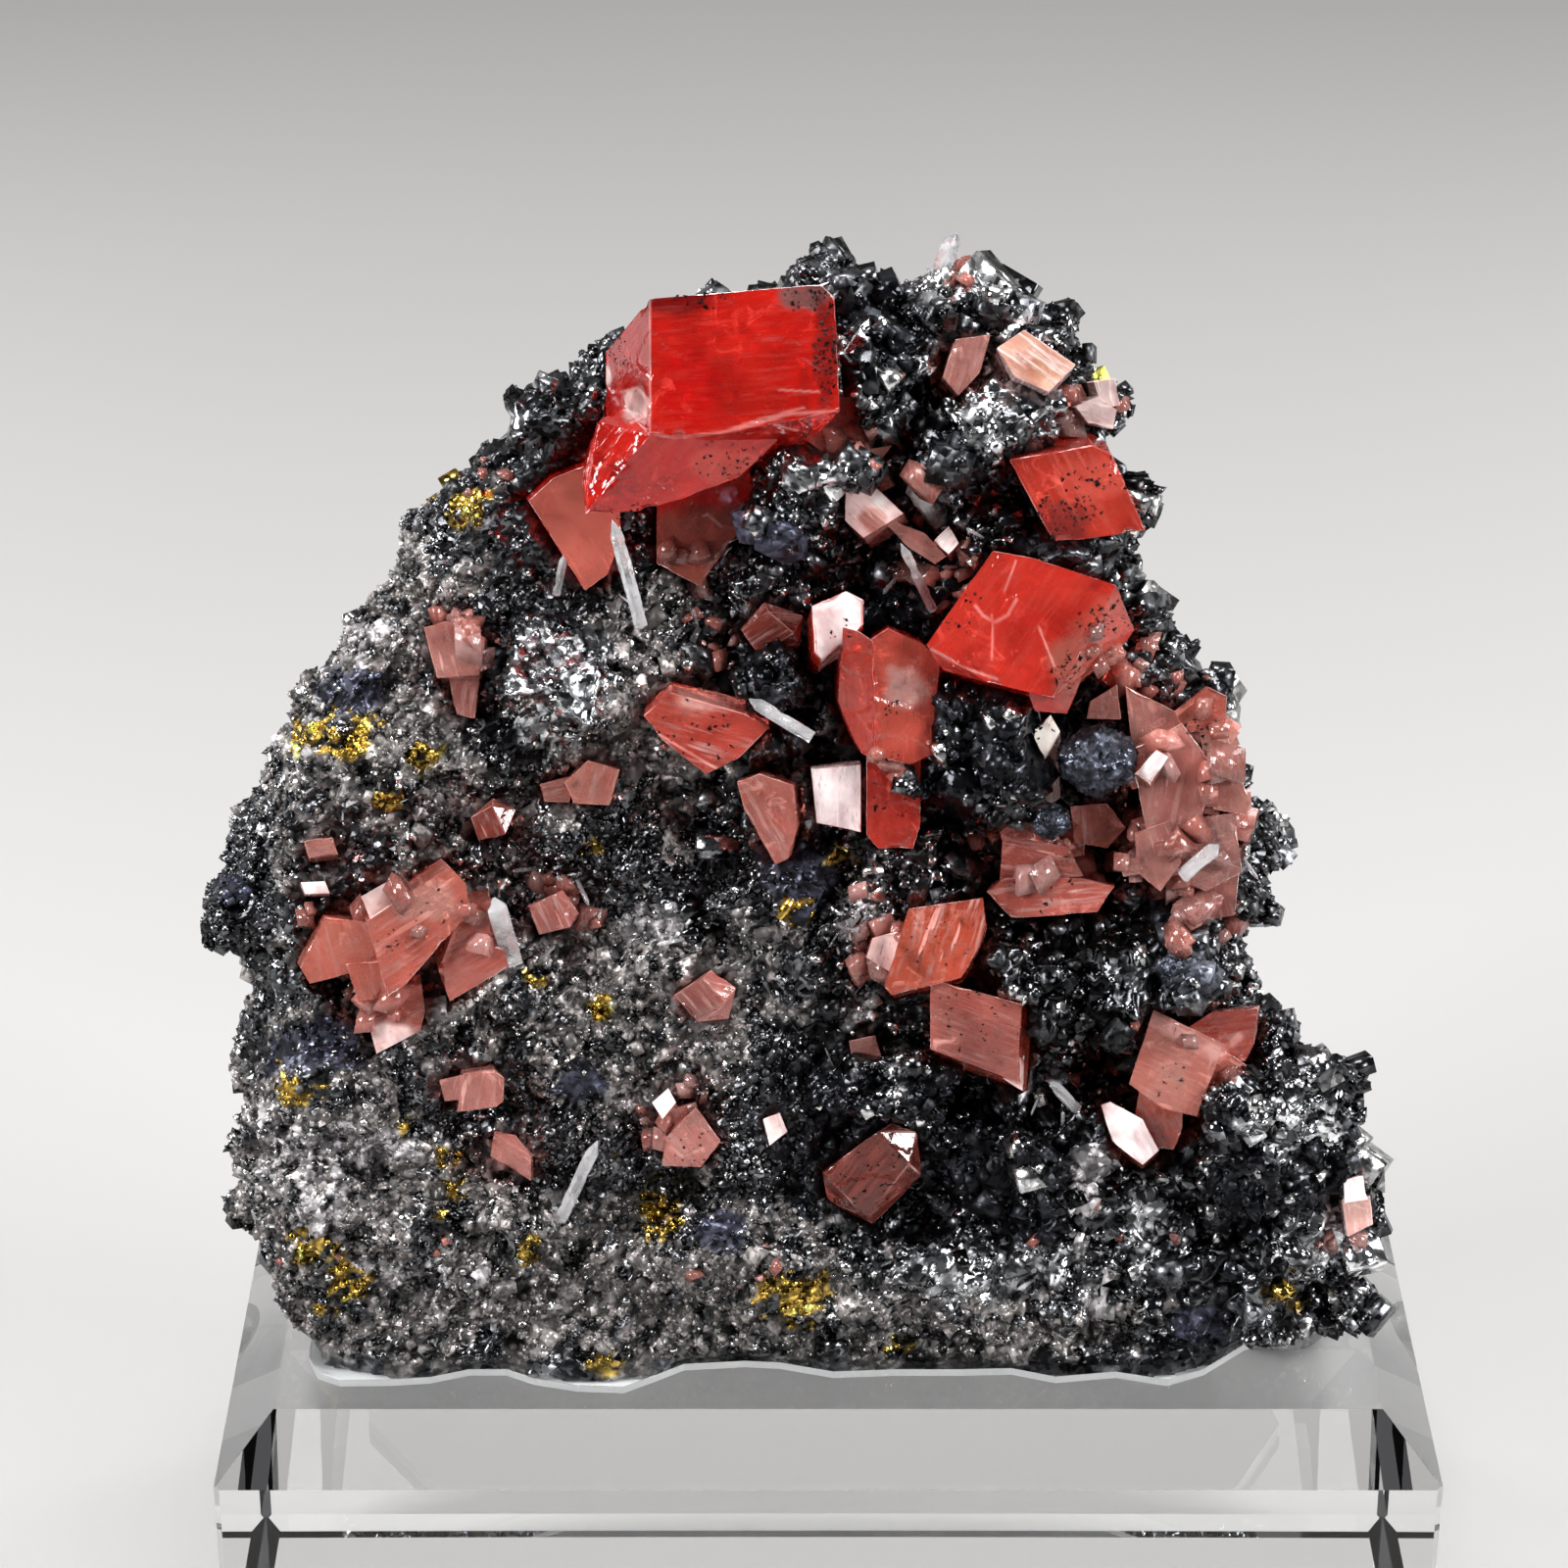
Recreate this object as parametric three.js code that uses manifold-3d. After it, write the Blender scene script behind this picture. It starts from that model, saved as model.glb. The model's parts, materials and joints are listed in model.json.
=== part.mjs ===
// Rhodochrosite crystals on a sulphide and quartz matrix, fixed in a clear acrylic base.
// Millimetres, +Z up. The rock leans back a little; its crystals face -Y.
import * as THREE from 'three';
import { ConvexGeometry } from 'three/addons/geometries/ConvexGeometry.js';
import { mergeVertices } from 'three/addons/utils/BufferGeometryUtils.js';
import Module from 'manifold-3d';

const wasm = await Module();
wasm.setup();

// Driving dimensions of the base
const BASE_WIDTH = 125;
const BASE_DEPTH = 62;
const BASE_HEIGHT = 38;
const TOP_CHAMFER = 5.85;
const BOTTOM_CHAMFER = 1.6;
const CORNER_CHAMFER = 0.6;
const POCKET_DEPTH = 1.8;
const FOOT_DIAMETER = 11.1;
const FOOT_HEIGHT = 4.5;
const FOOT_INSET = 10.6;

// Driving dimensions of the rock
const ROCK_LEAN_DEG = 11.9;
const ROCK_FRONT_Y = -19;
const ROCK_DETAIL = 8;
const RIM_OUT = -8;
const GAP = 0.3;

// Places on the rock are read in the front view: u mm right and v mm up of the view's middle,
// at VIEW_DISTANCE from the eye, and out mm in front of the rock's leaning front plane.
const EYE = new THREE.Vector3(-4.5, -393.1, 267.3);
const VIEW_PITCH_DEG = 27.93;
const VIEW_DISTANCE = 450;

const rad = THREE.MathUtils.degToRad;
const lean = rad(ROCK_LEAN_DEG);
const pitch = rad(VIEW_PITCH_DEG);
const planeNormal = new THREE.Vector3(0, -Math.cos(lean), Math.sin(lean));
const planeUp = new THREE.Vector3(0, Math.sin(lean), Math.cos(lean));
const planePoint = new THREE.Vector3(0, ROCK_FRONT_Y, 0);
const viewForward = new THREE.Vector3(0, Math.cos(pitch), -Math.sin(pitch));
const viewRight = new THREE.Vector3(1, 0, 0);
const viewUp = new THREE.Vector3(0, Math.sin(pitch), Math.cos(pitch));

function seen(u, v, out) {
  const ray = viewForward.clone().multiplyScalar(VIEW_DISTANCE);
  ray.addScaledVector(viewRight, u).addScaledVector(viewUp, v);
  const target = planePoint.clone().addScaledVector(planeNormal, out).sub(EYE);
  const steps = target.dot(planeNormal) / ray.dot(planeNormal);
  return EYE.clone().addScaledVector(ray, steps);
}

// A repeatable number from 0 to 1 for a pair of whole numbers and a seed
function hash(i, j, seed) {
  const wave = Math.sin(i * 127.1 + j * 311.7 + seed * 74.7) * 43758.5453;
  return wave - Math.floor(wave);
}

// Smooth noise from -1 to 1 with waves of the given size
function noise(u, v, size, seed) {
  const x = u / size;
  const y = v / size;
  const i = Math.floor(x);
  const j = Math.floor(y);
  const fx = THREE.MathUtils.smoothstep(x - i, 0, 1);
  const fy = THREE.MathUtils.smoothstep(y - j, 0, 1);
  const low = THREE.MathUtils.lerp(hash(i, j, seed), hash(i + 1, j, seed), fx);
  const high = THREE.MathUtils.lerp(hash(i, j + 1, seed), hash(i + 1, j + 1, seed), fx);
  return THREE.MathUtils.lerp(low, high, fy) * 2 - 1;
}

// Broken facets: each cell of the given size is a tilted plane at its own height
function facets(u, v, size, step, seed) {
  let nearest = Infinity;
  let height = 0;
  const i0 = Math.floor(u / size);
  const j0 = Math.floor(v / size);
  for (let i = i0 - 1; i <= i0 + 1; i += 1) {
    for (let j = j0 - 1; j <= j0 + 1; j += 1) {
      const du = u - (i + hash(i, j, seed)) * size;
      const dv = v - (j + hash(i, j, seed + 1)) * size;
      const away = du * du + dv * dv;
      if (away < nearest) {
        nearest = away;
        const tiltU = (hash(i, j, seed + 2) - 0.5) * 2 * step / size;
        const tiltV = (hash(i, j, seed + 3) - 0.5) * 2 * step / size;
        height = (hash(i, j, seed + 4) - 0.5) * 2 * step + du * tiltU + dv * tiltV;
      }
    }
  }
  return height;
}

// Solids
function solidOf(geometry) {
  const bare = geometry.clone();
  for (const name of Object.keys(bare.attributes)) {
    if (name !== 'position') bare.deleteAttribute(name);
  }
  const merged = mergeVertices(bare, 1e-4);
  return new wasm.Manifold(new wasm.Mesh({
    numProp: 3,
    vertProperties: new Float32Array(merged.attributes.position.array),
    triVerts: new Uint32Array(merged.index.array),
  }));
}

function meshOf(name, solid, colour, roughness, metalness) {
  const made = solid.getMesh();
  const geometry = new THREE.BufferGeometry();
  geometry.setAttribute('position', new THREE.BufferAttribute(made.vertProperties, 3));
  geometry.setIndex(new THREE.BufferAttribute(made.triVerts, 1));
  const material = new THREE.MeshStandardMaterial({ color: colour, roughness, metalness, flatShading: true });
  const mesh = new THREE.Mesh(geometry, material);
  mesh.name = name;
  return mesh;
}

function joined(solids) {
  return solids.reduce((whole, piece) => whole.add(piece));
}

function largestPiece(solid) {
  const pieces = solid.decompose();
  return pieces.reduce((best, piece) => (piece.volume() > best.volume() ? piece : best));
}

// Clear acrylic base: a block with chamfered edges and a shallow pocket under the rock
function chamferedRectangle(width, low, high, lowChamfer, highChamfer) {
  const half = width / 2;
  return new THREE.Shape([
    new THREE.Vector2(-half + lowChamfer, low),
    new THREE.Vector2(half - lowChamfer, low),
    new THREE.Vector2(half, low + lowChamfer),
    new THREE.Vector2(half, high - highChamfer),
    new THREE.Vector2(half - highChamfer, high),
    new THREE.Vector2(-half + highChamfer, high),
    new THREE.Vector2(-half, high - highChamfer),
    new THREE.Vector2(-half, low + lowChamfer),
  ]);
}

function centredExtrusion(shape, length) {
  const geometry = new THREE.ExtrudeGeometry(shape, { depth: length, bevelEnabled: false });
  return geometry.translate(0, 0, -length / 2);
}

// Plan of the pocket and the rock's foot, in mm from the base's centre, grown by `margin`.
// The front half follows the rock's edge, and the back half is one easy curve.
const FOOT_FRONT = [
  [-52.7, -15.8], [-51.8, -18], [-50.2, -18.9], [-45.2, -18.8], [-41.3, -18.4], [-37.3, -17],
  [-33, -17], [-29.8, -18.7], [-25.6, -19.8], [-21.3, -20.1], [-18.4, -18.2], [-15.2, -16.1],
  [-8.6, -15.5], [-4.7, -15.8], [0.7, -17.4], [6.9, -17], [13.7, -17], [19.2, -16.8], [23.6, -18.3],
  [29.8, -17.4], [35, -18.8], [38.2, -17.2], [42.8, -12.8], [47.6, -10.1], [51.9, -8],
];
const FOOT_BACK = [[53.5, -2], [48, 9], [30, 16.5], [4, 19], [-24, 17.5], [-44, 10], [-53, -3]];

function footShape(margin) {
  const plan = [...FOOT_FRONT, ...FOOT_BACK].map(([x, y]) => new THREE.Vector2(x, y));
  const grown = plan.map((point, index) => {
    const before = plan[(index + plan.length - 1) % plan.length];
    const after = plan[(index + 1) % plan.length];
    const along = after.clone().sub(before).normalize();
    return point.clone().add(new THREE.Vector2(along.y, -along.x).multiplyScalar(margin));
  });
  return new THREE.Shape(grown);
}

function footPrism(margin, low, high) {
  const geometry = new THREE.ExtrudeGeometry(footShape(margin), { depth: high - low, bevelEnabled: false });
  return solidOf(geometry.translate(0, 0, low));
}

function acrylicBase() {
  const front = chamferedRectangle(BASE_WIDTH, -BASE_HEIGHT, 0, BOTTOM_CHAMFER, TOP_CHAMFER);
  const side = chamferedRectangle(BASE_DEPTH, -BASE_HEIGHT, 0, BOTTOM_CHAMFER, TOP_CHAMFER);
  const halfDepth = BASE_DEPTH / 2;
  const plan = chamferedRectangle(BASE_WIDTH, -halfDepth, halfDepth, CORNER_CHAMFER, CORNER_CHAMFER);
  const alongY = solidOf(centredExtrusion(front, BASE_DEPTH).rotateX(Math.PI / 2));
  const alongX = solidOf(centredExtrusion(side, BASE_WIDTH).rotateX(Math.PI / 2).rotateZ(Math.PI / 2));
  const upright = solidOf(centredExtrusion(plan, 2 * BASE_HEIGHT).translate(0, 0, -BASE_HEIGHT / 2));
  const pocket = footPrism(1.2, -POCKET_DEPTH, 1);
  return alongY.intersect(alongX).intersect(upright).subtract(pocket);
}

function bumperFoot() {
  const radius = FOOT_DIAMETER / 2;
  const profile = [
    [0, -FOOT_HEIGHT], [radius * 0.72, -FOOT_HEIGHT], [radius * 0.94, -FOOT_HEIGHT * 0.8],
    [radius, -FOOT_HEIGHT * 0.4], [radius, 0], [0, 0],
  ];
  const points = profile.map(([r, z]) => new THREE.Vector2(r, z));
  return solidOf(new THREE.LatheGeometry(points, 16).rotateX(Math.PI / 2));
}

// Outline of the rock in the front view, clockwise from the bottom left
const OUTLINE = [
  [-48, -66.5], [-50, -55], [-53.5, -49.5], [-55.7, -45], [-56, -39], [-54.2, -35], [-54.6, -29],
  [-56, -26], [-54, -20.5], [-54.5, -17], [-57.8, -15.5], [-59.2, -13], [-57.8, -10], [-56, -8.5],
  [-56.4, -4], [-53.8, 1], [-51, 4.5], [-50, 8.5], [-46.5, 13.5], [-41.5, 18.5], [-40, 22.5],
  [-38.5, 26], [-38.5, 29.2], [-36.5, 31], [-33, 32], [-29, 34], [-26, 36], [-25.5, 40], [-23, 41.5],
  [-20, 43], [-18, 45.5], [-15, 47.3], [-8, 48.5], [-2, 51], [-1, 52.8], [3, 53.8], [7.5, 52.5],
  [12, 53.5], [14.5, 52], [19, 53.5], [21, 52], [24.5, 49.5], [28, 47.5], [31, 44], [33.6, 41.5],
  [34, 39], [33.3, 34.5], [35, 29], [35.5, 26], [36, 20], [37.5, 16], [41.3, 14], [41.5, 10],
  [43, 8.5], [44.5, 4], [46.5, 0.5], [47.7, -3], [49.5, -8], [48, -10], [47.8, -14], [46.5, -16],
  [46.2, -20], [46.8, -22], [48.7, -23], [50.7, -26.5], [50.8, -29], [57, -30], [56.8, -33],
  [57.5, -36], [58, -40], [59.7, -40.5], [60.5, -45], [60, -48], [56.5, -55], [51, -60.5], [42, -66],
  [28, -67], [6, -66.5], [-10, -66.5], [-28, -66.5], [-38, -67],
];
const OUTLINE_MIDDLE = [0, -8];

function outlineReach(angle) {
  const dirU = Math.cos(angle);
  const dirV = Math.sin(angle);
  let reach = 0;
  OUTLINE.forEach(([u0, v0], index) => {
    const [u1, v1] = OUTLINE[(index + 1) % OUTLINE.length];
    const au = u0 - OUTLINE_MIDDLE[0];
    const av = v0 - OUTLINE_MIDDLE[1];
    const bu = u1 - u0;
    const bv = v1 - v0;
    const cross = dirU * bv - dirV * bu;
    if (Math.abs(cross) < 1e-9) return;
    const distance = (au * bv - av * bu) / cross;
    const share = (au * dirV - av * dirU) / cross;
    if (share >= -1e-9 && share <= 1 + 1e-9 && distance > reach) reach = distance;
  });
  return reach;
}

// Swellings (positive) and hollows (negative) of the front: u, v, width, height of the patch, rise
const SWELLS = [
  [-24, 27, 30, 16, 1.5], [22, 42, 26, 16, 3], [24, 27, 20, 12, 2.5], [-22, 12, 16, 16, 2.5],
  [34, -19, 26, 11, 4], [10, -52, 34, 14, 2.5], [-38, -50, 26, 14, 2], [-44, -33, 18, 16, 2.5],
  [50, -42, 22, 24, 3], [28, -40, 20, 18, 2.5], [-30, -27, 22, 14, 2], [-52, -13, 12, 12, 2],
  [8, 22, 12, 14, -3.5], [4, -30, 18, 14, -3], [-18, -10, 26, 16, -1.5], [-16, -44, 26, 9, -3],
  [34, -26, 14, 7, -4], [43, -17, 12, 7, -2], [14, -44, 12, 10, -4], [-10, 20, 22, 9, -2.5],
  [-34, -10, 20, 10, -2], [47, -24, 8, 8, -3], [17, -33, 12, 8, -3], [20, 16, 20, 12, -2],
];

// How far in front of the rock's plane the foot's front edge lies, with a flare that makes up
// for the fall of the front towards the outline
const FOOT_FLARE = 2.2;

function footOut(x) {
  const inside = THREE.MathUtils.clamp(x, FOOT_FRONT[0][0] + GAP, FOOT_FRONT.at(-1)[0] - GAP);
  const next = FOOT_FRONT.findIndex(([limit]) => limit > inside);
  const [x0, y0] = FOOT_FRONT[next - 1];
  const [x1, y1] = FOOT_FRONT[next];
  const front = THREE.MathUtils.mapLinear(inside, x0, x1, y0, y1);
  return (ROCK_FRONT_Y - front) * Math.cos(lean) + FOOT_FLARE;
}

// Up to the first height the front follows the foot, and from the second it is free
const FOOT_TOP = [1, 12];

function frontRelief(u, v) {
  let out = noise(u, v, 22, 3) * 1.6 + facets(u, v, 9, 2, 11) + facets(u, v, 5, 0.7, 29);
  for (const [cu, cv, width, height, rise] of SWELLS) {
    const du = (u - cu) / width;
    const dv = (v - cv) / height;
    out += rise * Math.exp(-4 * (du * du + dv * dv));
  }
  const foot = footOut(seen(u, v, 0).x);
  const height = seen(u, v, foot).z;
  return THREE.MathUtils.lerp(foot, out, THREE.MathUtils.smoothstep(height, FOOT_TOP[0], FOOT_TOP[1]));
}

// The back is a broken face, deep at the foot and thinner towards the top
function backDepth(u, v) {
  const share = THREE.MathUtils.clamp((v + 60) / 112, 0, 1);
  const thickness = THREE.MathUtils.lerp(27, 9, Math.pow(share, 0.8));
  return thickness + noise(u, v, 26, 51) * 2.5 + facets(u, v, 13, 2, 57) + facets(u, v, 6, 0.8, 71);
}

function rockBody() {
  const geometry = new THREE.IcosahedronGeometry(1, ROCK_DETAIL);
  const position = geometry.attributes.position;
  const direction = new THREE.Vector3();
  for (let index = 0; index < position.count; index += 1) {
    direction.fromBufferAttribute(position, index).normalize();
    const angle = Math.atan2(direction.z, direction.x);
    const spread = Math.sqrt(1 - Math.abs(direction.y));
    const reach = outlineReach(angle) * spread;
    const u = OUTLINE_MIDDLE[0] + Math.cos(angle) * reach;
    const v = OUTLINE_MIDDLE[1] + Math.sin(angle) * reach;
    const rim = Math.pow(spread, 7);
    const crown = Math.sqrt(1 - rim);
    let out = RIM_OUT;
    if (direction.y < 0) out += (frontRelief(u, v) - RIM_OUT) * crown;
    else out -= backDepth(u, v) * Math.sqrt(1 - Math.pow(spread, 4));
    position.setXYZ(index, ...seen(u, v, out).toArray());
  }
  return solidOf(geometry);
}

// Sulphide lumps and crystals that stand out of the rock: middle u, v, out; size; turns in degrees
const KINDS = {
  ball: () => new THREE.IcosahedronGeometry(0.5, 1),
  block: () => new THREE.BoxGeometry(1, 1, 1),
  wedge: () => new THREE.TetrahedronGeometry(0.72, 0),
  gem: () => new THREE.OctahedronGeometry(0.6, 0),
  lump: () => new THREE.IcosahedronGeometry(0.56, 0),
};
const LUMPS = [
  ['block', 20.2, 5, 1.5, 10, 11.5, 11, 12, 8, -4],
  ['gem', 13.4, 0.3, 4, 5, 3, 4, 0, 20, -20],
  ['ball', 32, 2.4, 5, 7.4, 6.4, 6.4, 0, 0, 0],
  ['ball', 27.2, -3.7, 4.2, 3.8, 3.8, 3.8, 10, 10, 0],
  ['ball', 40.6, -19, 6, 4.6, 3.4, 3.6, 0, 30, 0],
  ['wedge', -24.5, 11.5, 1.5, 15, 14, 13, 30, -24, 36],
  ['gem', -20.5, 8.5, 3.5, 9, 10, 9, 10, 20, 12],
  ['block', 1.8, 31.8, 3, 7, 6.6, 9, 28, 18, 24],
  ['gem', -1.6, 10.8, 2, 8, 8, 7, 0, 14, 26],
  ['block', 49.5, -36, -2.5, 13, 12.5, 11, -8, -6, 14],
  ['lump', 49, -31.5, 3, 12, 6, 12, 8, 0, 20],
  ['block', 50.5, -48, -7, 13, 13, 13, 8, 6, 24],
  ['lump', 49.6, -26.6, 1, 3.4, 5.4, 4, 0, 0, 0],
  ['block', 33, -19.5, 1.5, 18, 8, 9, 8, -6, 6],
  ['lump', 24.5, -18.5, 3, 9, 7, 8, 20, 40, 10],
  ['gem', 29, -38.5, 3, 12, 12, 9, 10, 30, 15],
  ['block', 10.5, -30.5, 2.5, 11, 5, 7, -20, 14, 16],
  ['lump', -23.6, 37.2, -1, 8.6, 7, 8, 0, 0, 0],
  ['lump', 4.5, 50.5, -4, 9, 7, 10, 0, 0, 0],
  ['lump', 18, 48, -1, 11, 8, 9, 15, 0, 60],
  ['block', 9.5, 42.5, 1.5, 8, 8, 7, -20, 30, 12],
  ['lump', 22, 37, 3, 12, 9, 8, 10, 0, -10],
  ['gem', 16, 32.5, 2.5, 11, 7, 8, 0, 0, -20],
  ['lump', 24, 24, 0, 14, 6, 8, 0, 0, -10],
  ['lump', -14, 22, 0, 8, 6, 6, 10, 0, 20],
  ['lump', -43, 3, 0, 12, 9, 7, 0, 0, -20],
  ['lump', -55, -12.8, -5, 9, 8, 9, 0, 0, 0],
  ['lump', -46, -31, 1.5, 12, 9, 7, 0, 10, -20],
  ['lump', -47.5, -42, 0.5, 14, 10, 8, 0, 10, 30],
  ['block', -33, -45, 1, 14, 8, 6, 18, 0, -14],
  ['lump', -8, -47, 2, 13, 7, 7, 0, 0, -14],
  ['block', 3, -50, 0, 14, 7, 7, 10, 8, 8],
  ['lump', 15, -49, 1.5, 15, 7, 7, 0, 0, 6],
  ['lump', -19, -31, 2, 10, 8, 6, 0, 10, 20],
  ['gem', -2, -12, 2, 11, 8, 6, 0, 0, 10],
];

function lump([kind, u, v, out, width, height, depth, turnX, turnY, turnZ]) {
  const geometry = KINDS[kind]();
  geometry.applyMatrix4(new THREE.Matrix4().makeRotationFromEuler(
    new THREE.Euler(rad(turnX), rad(turnY), rad(turnZ)),
  ));
  geometry.scale(width, depth, height);
  geometry.rotateX(-lean);
  const place = seen(u, v, out);
  return solidOf(geometry.translate(place.x, place.y, place.z));
}

// Small crystals and grains fused to the front, one in each cell of a loose grid
const GRAIN_CELL = 34;
const LOWEST_GRAIN = -50;
function grains() {
  const made = [];
  for (let i = -3; i <= 2; i += 1) {
    for (let j = -3; j <= 2; j += 1) {
      const u = (i + hash(i, j, 91)) * GRAIN_CELL;
      const v = (j + hash(i, j, 92)) * GRAIN_CELL;
      const angle = Math.atan2(v - OUTLINE_MIDDLE[1], u - OUTLINE_MIDDLE[0]);
      const away = Math.hypot(u - OUTLINE_MIDDLE[0], v - OUTLINE_MIDDLE[1]);
      const size = 2.6 + 2.6 * hash(i, j, 93);
      if (away > outlineReach(angle) - 4 || v < LOWEST_GRAIN) continue;
      const kind = hash(i, j, 94) < 0.5 ? 'gem' : 'block';
      const turns = [95, 96, 97].map((seed) => hash(i, j, seed) * 90);
      made.push(lump([kind, u, v, frontRelief(u, v) + 0.3, size, size, size, ...turns]));
    }
  }
  return made;
}

// Crystals. A crystal is a prism: a flat front face of corners [u, v, out] and the same face moved
// `into` the rock, with further corners `behind` where an edge is cut off. GAP round it is left free
// in the rock, as its socket.
function convexBody(corners) {
  return solidOf(new ConvexGeometry(corners));
}

function middleOf(points) {
  return points.reduce((sum, point) => sum.add(point), new THREE.Vector3()).divideScalar(points.length);
}

// The corners, each moved along its line of sight onto their common plane
function flatFace(points) {
  const middle = middleOf(points);
  const normal = new THREE.Vector3();
  points.forEach((point, index) => {
    const next = points[(index + 1) % points.length];
    normal.add(point.clone().sub(middle).cross(next.clone().sub(middle)));
  });
  const reach = middle.sub(EYE).dot(normal);
  return points.map((point) => {
    const ray = point.clone().sub(EYE);
    return EYE.clone().addScaledVector(ray, reach / ray.dot(normal));
  });
}

function prismCorners(out, into, outline, behind = []) {
  const places = outline.map(([u, v, own = out]) => [u, v, own]);
  const front = flatFace(places.map((place) => seen(...place)));
  const [u, v, own] = places[0];
  const shift = seen(u + into[0], v + into[1], own + into[2]).sub(seen(u, v, own));
  const rear = front.map((corner) => corner.clone().add(shift));
  return [...front, ...rear, ...behind.map((corner) => seen(...corner))];
}

function socketOf(corners) {
  const axes = [viewRight, planeUp, planeNormal];
  const grown = corners.map((corner) => corner.clone());
  for (const axis of axes) {
    const places = corners.map((corner) => corner.dot(axis));
    const middle = (Math.max(...places) + Math.min(...places)) / 2;
    const half = Math.max(...places) - middle;
    grown.forEach((corner, index) => {
      corner.addScaledVector(axis, (places[index] - middle) * 1.35 * GAP / half);
    });
  }
  return convexBody(grown);
}

const RED = { colour: 0xb3140f, roughness: 0.12, metalness: 0 };
const SALMON = { colour: 0xc65a50, roughness: 0.18, metalness: 0 };
const PALE = { colour: 0xe6c9c6, roughness: 0.25, metalness: 0 };
const QUARTZ = { colour: 0xdfe3e6, roughness: 0.08, metalness: 0 };
const SULPHIDE = { colour: 0x3c3d40, roughness: 0.42, metalness: 0.85 };
const ACRYLIC = { colour: 0xe9eef0, roughness: 0.03, metalness: 0 };
const BUMPER = { colour: 0xdfe5e6, roughness: 0.25, metalness: 0 };

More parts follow.
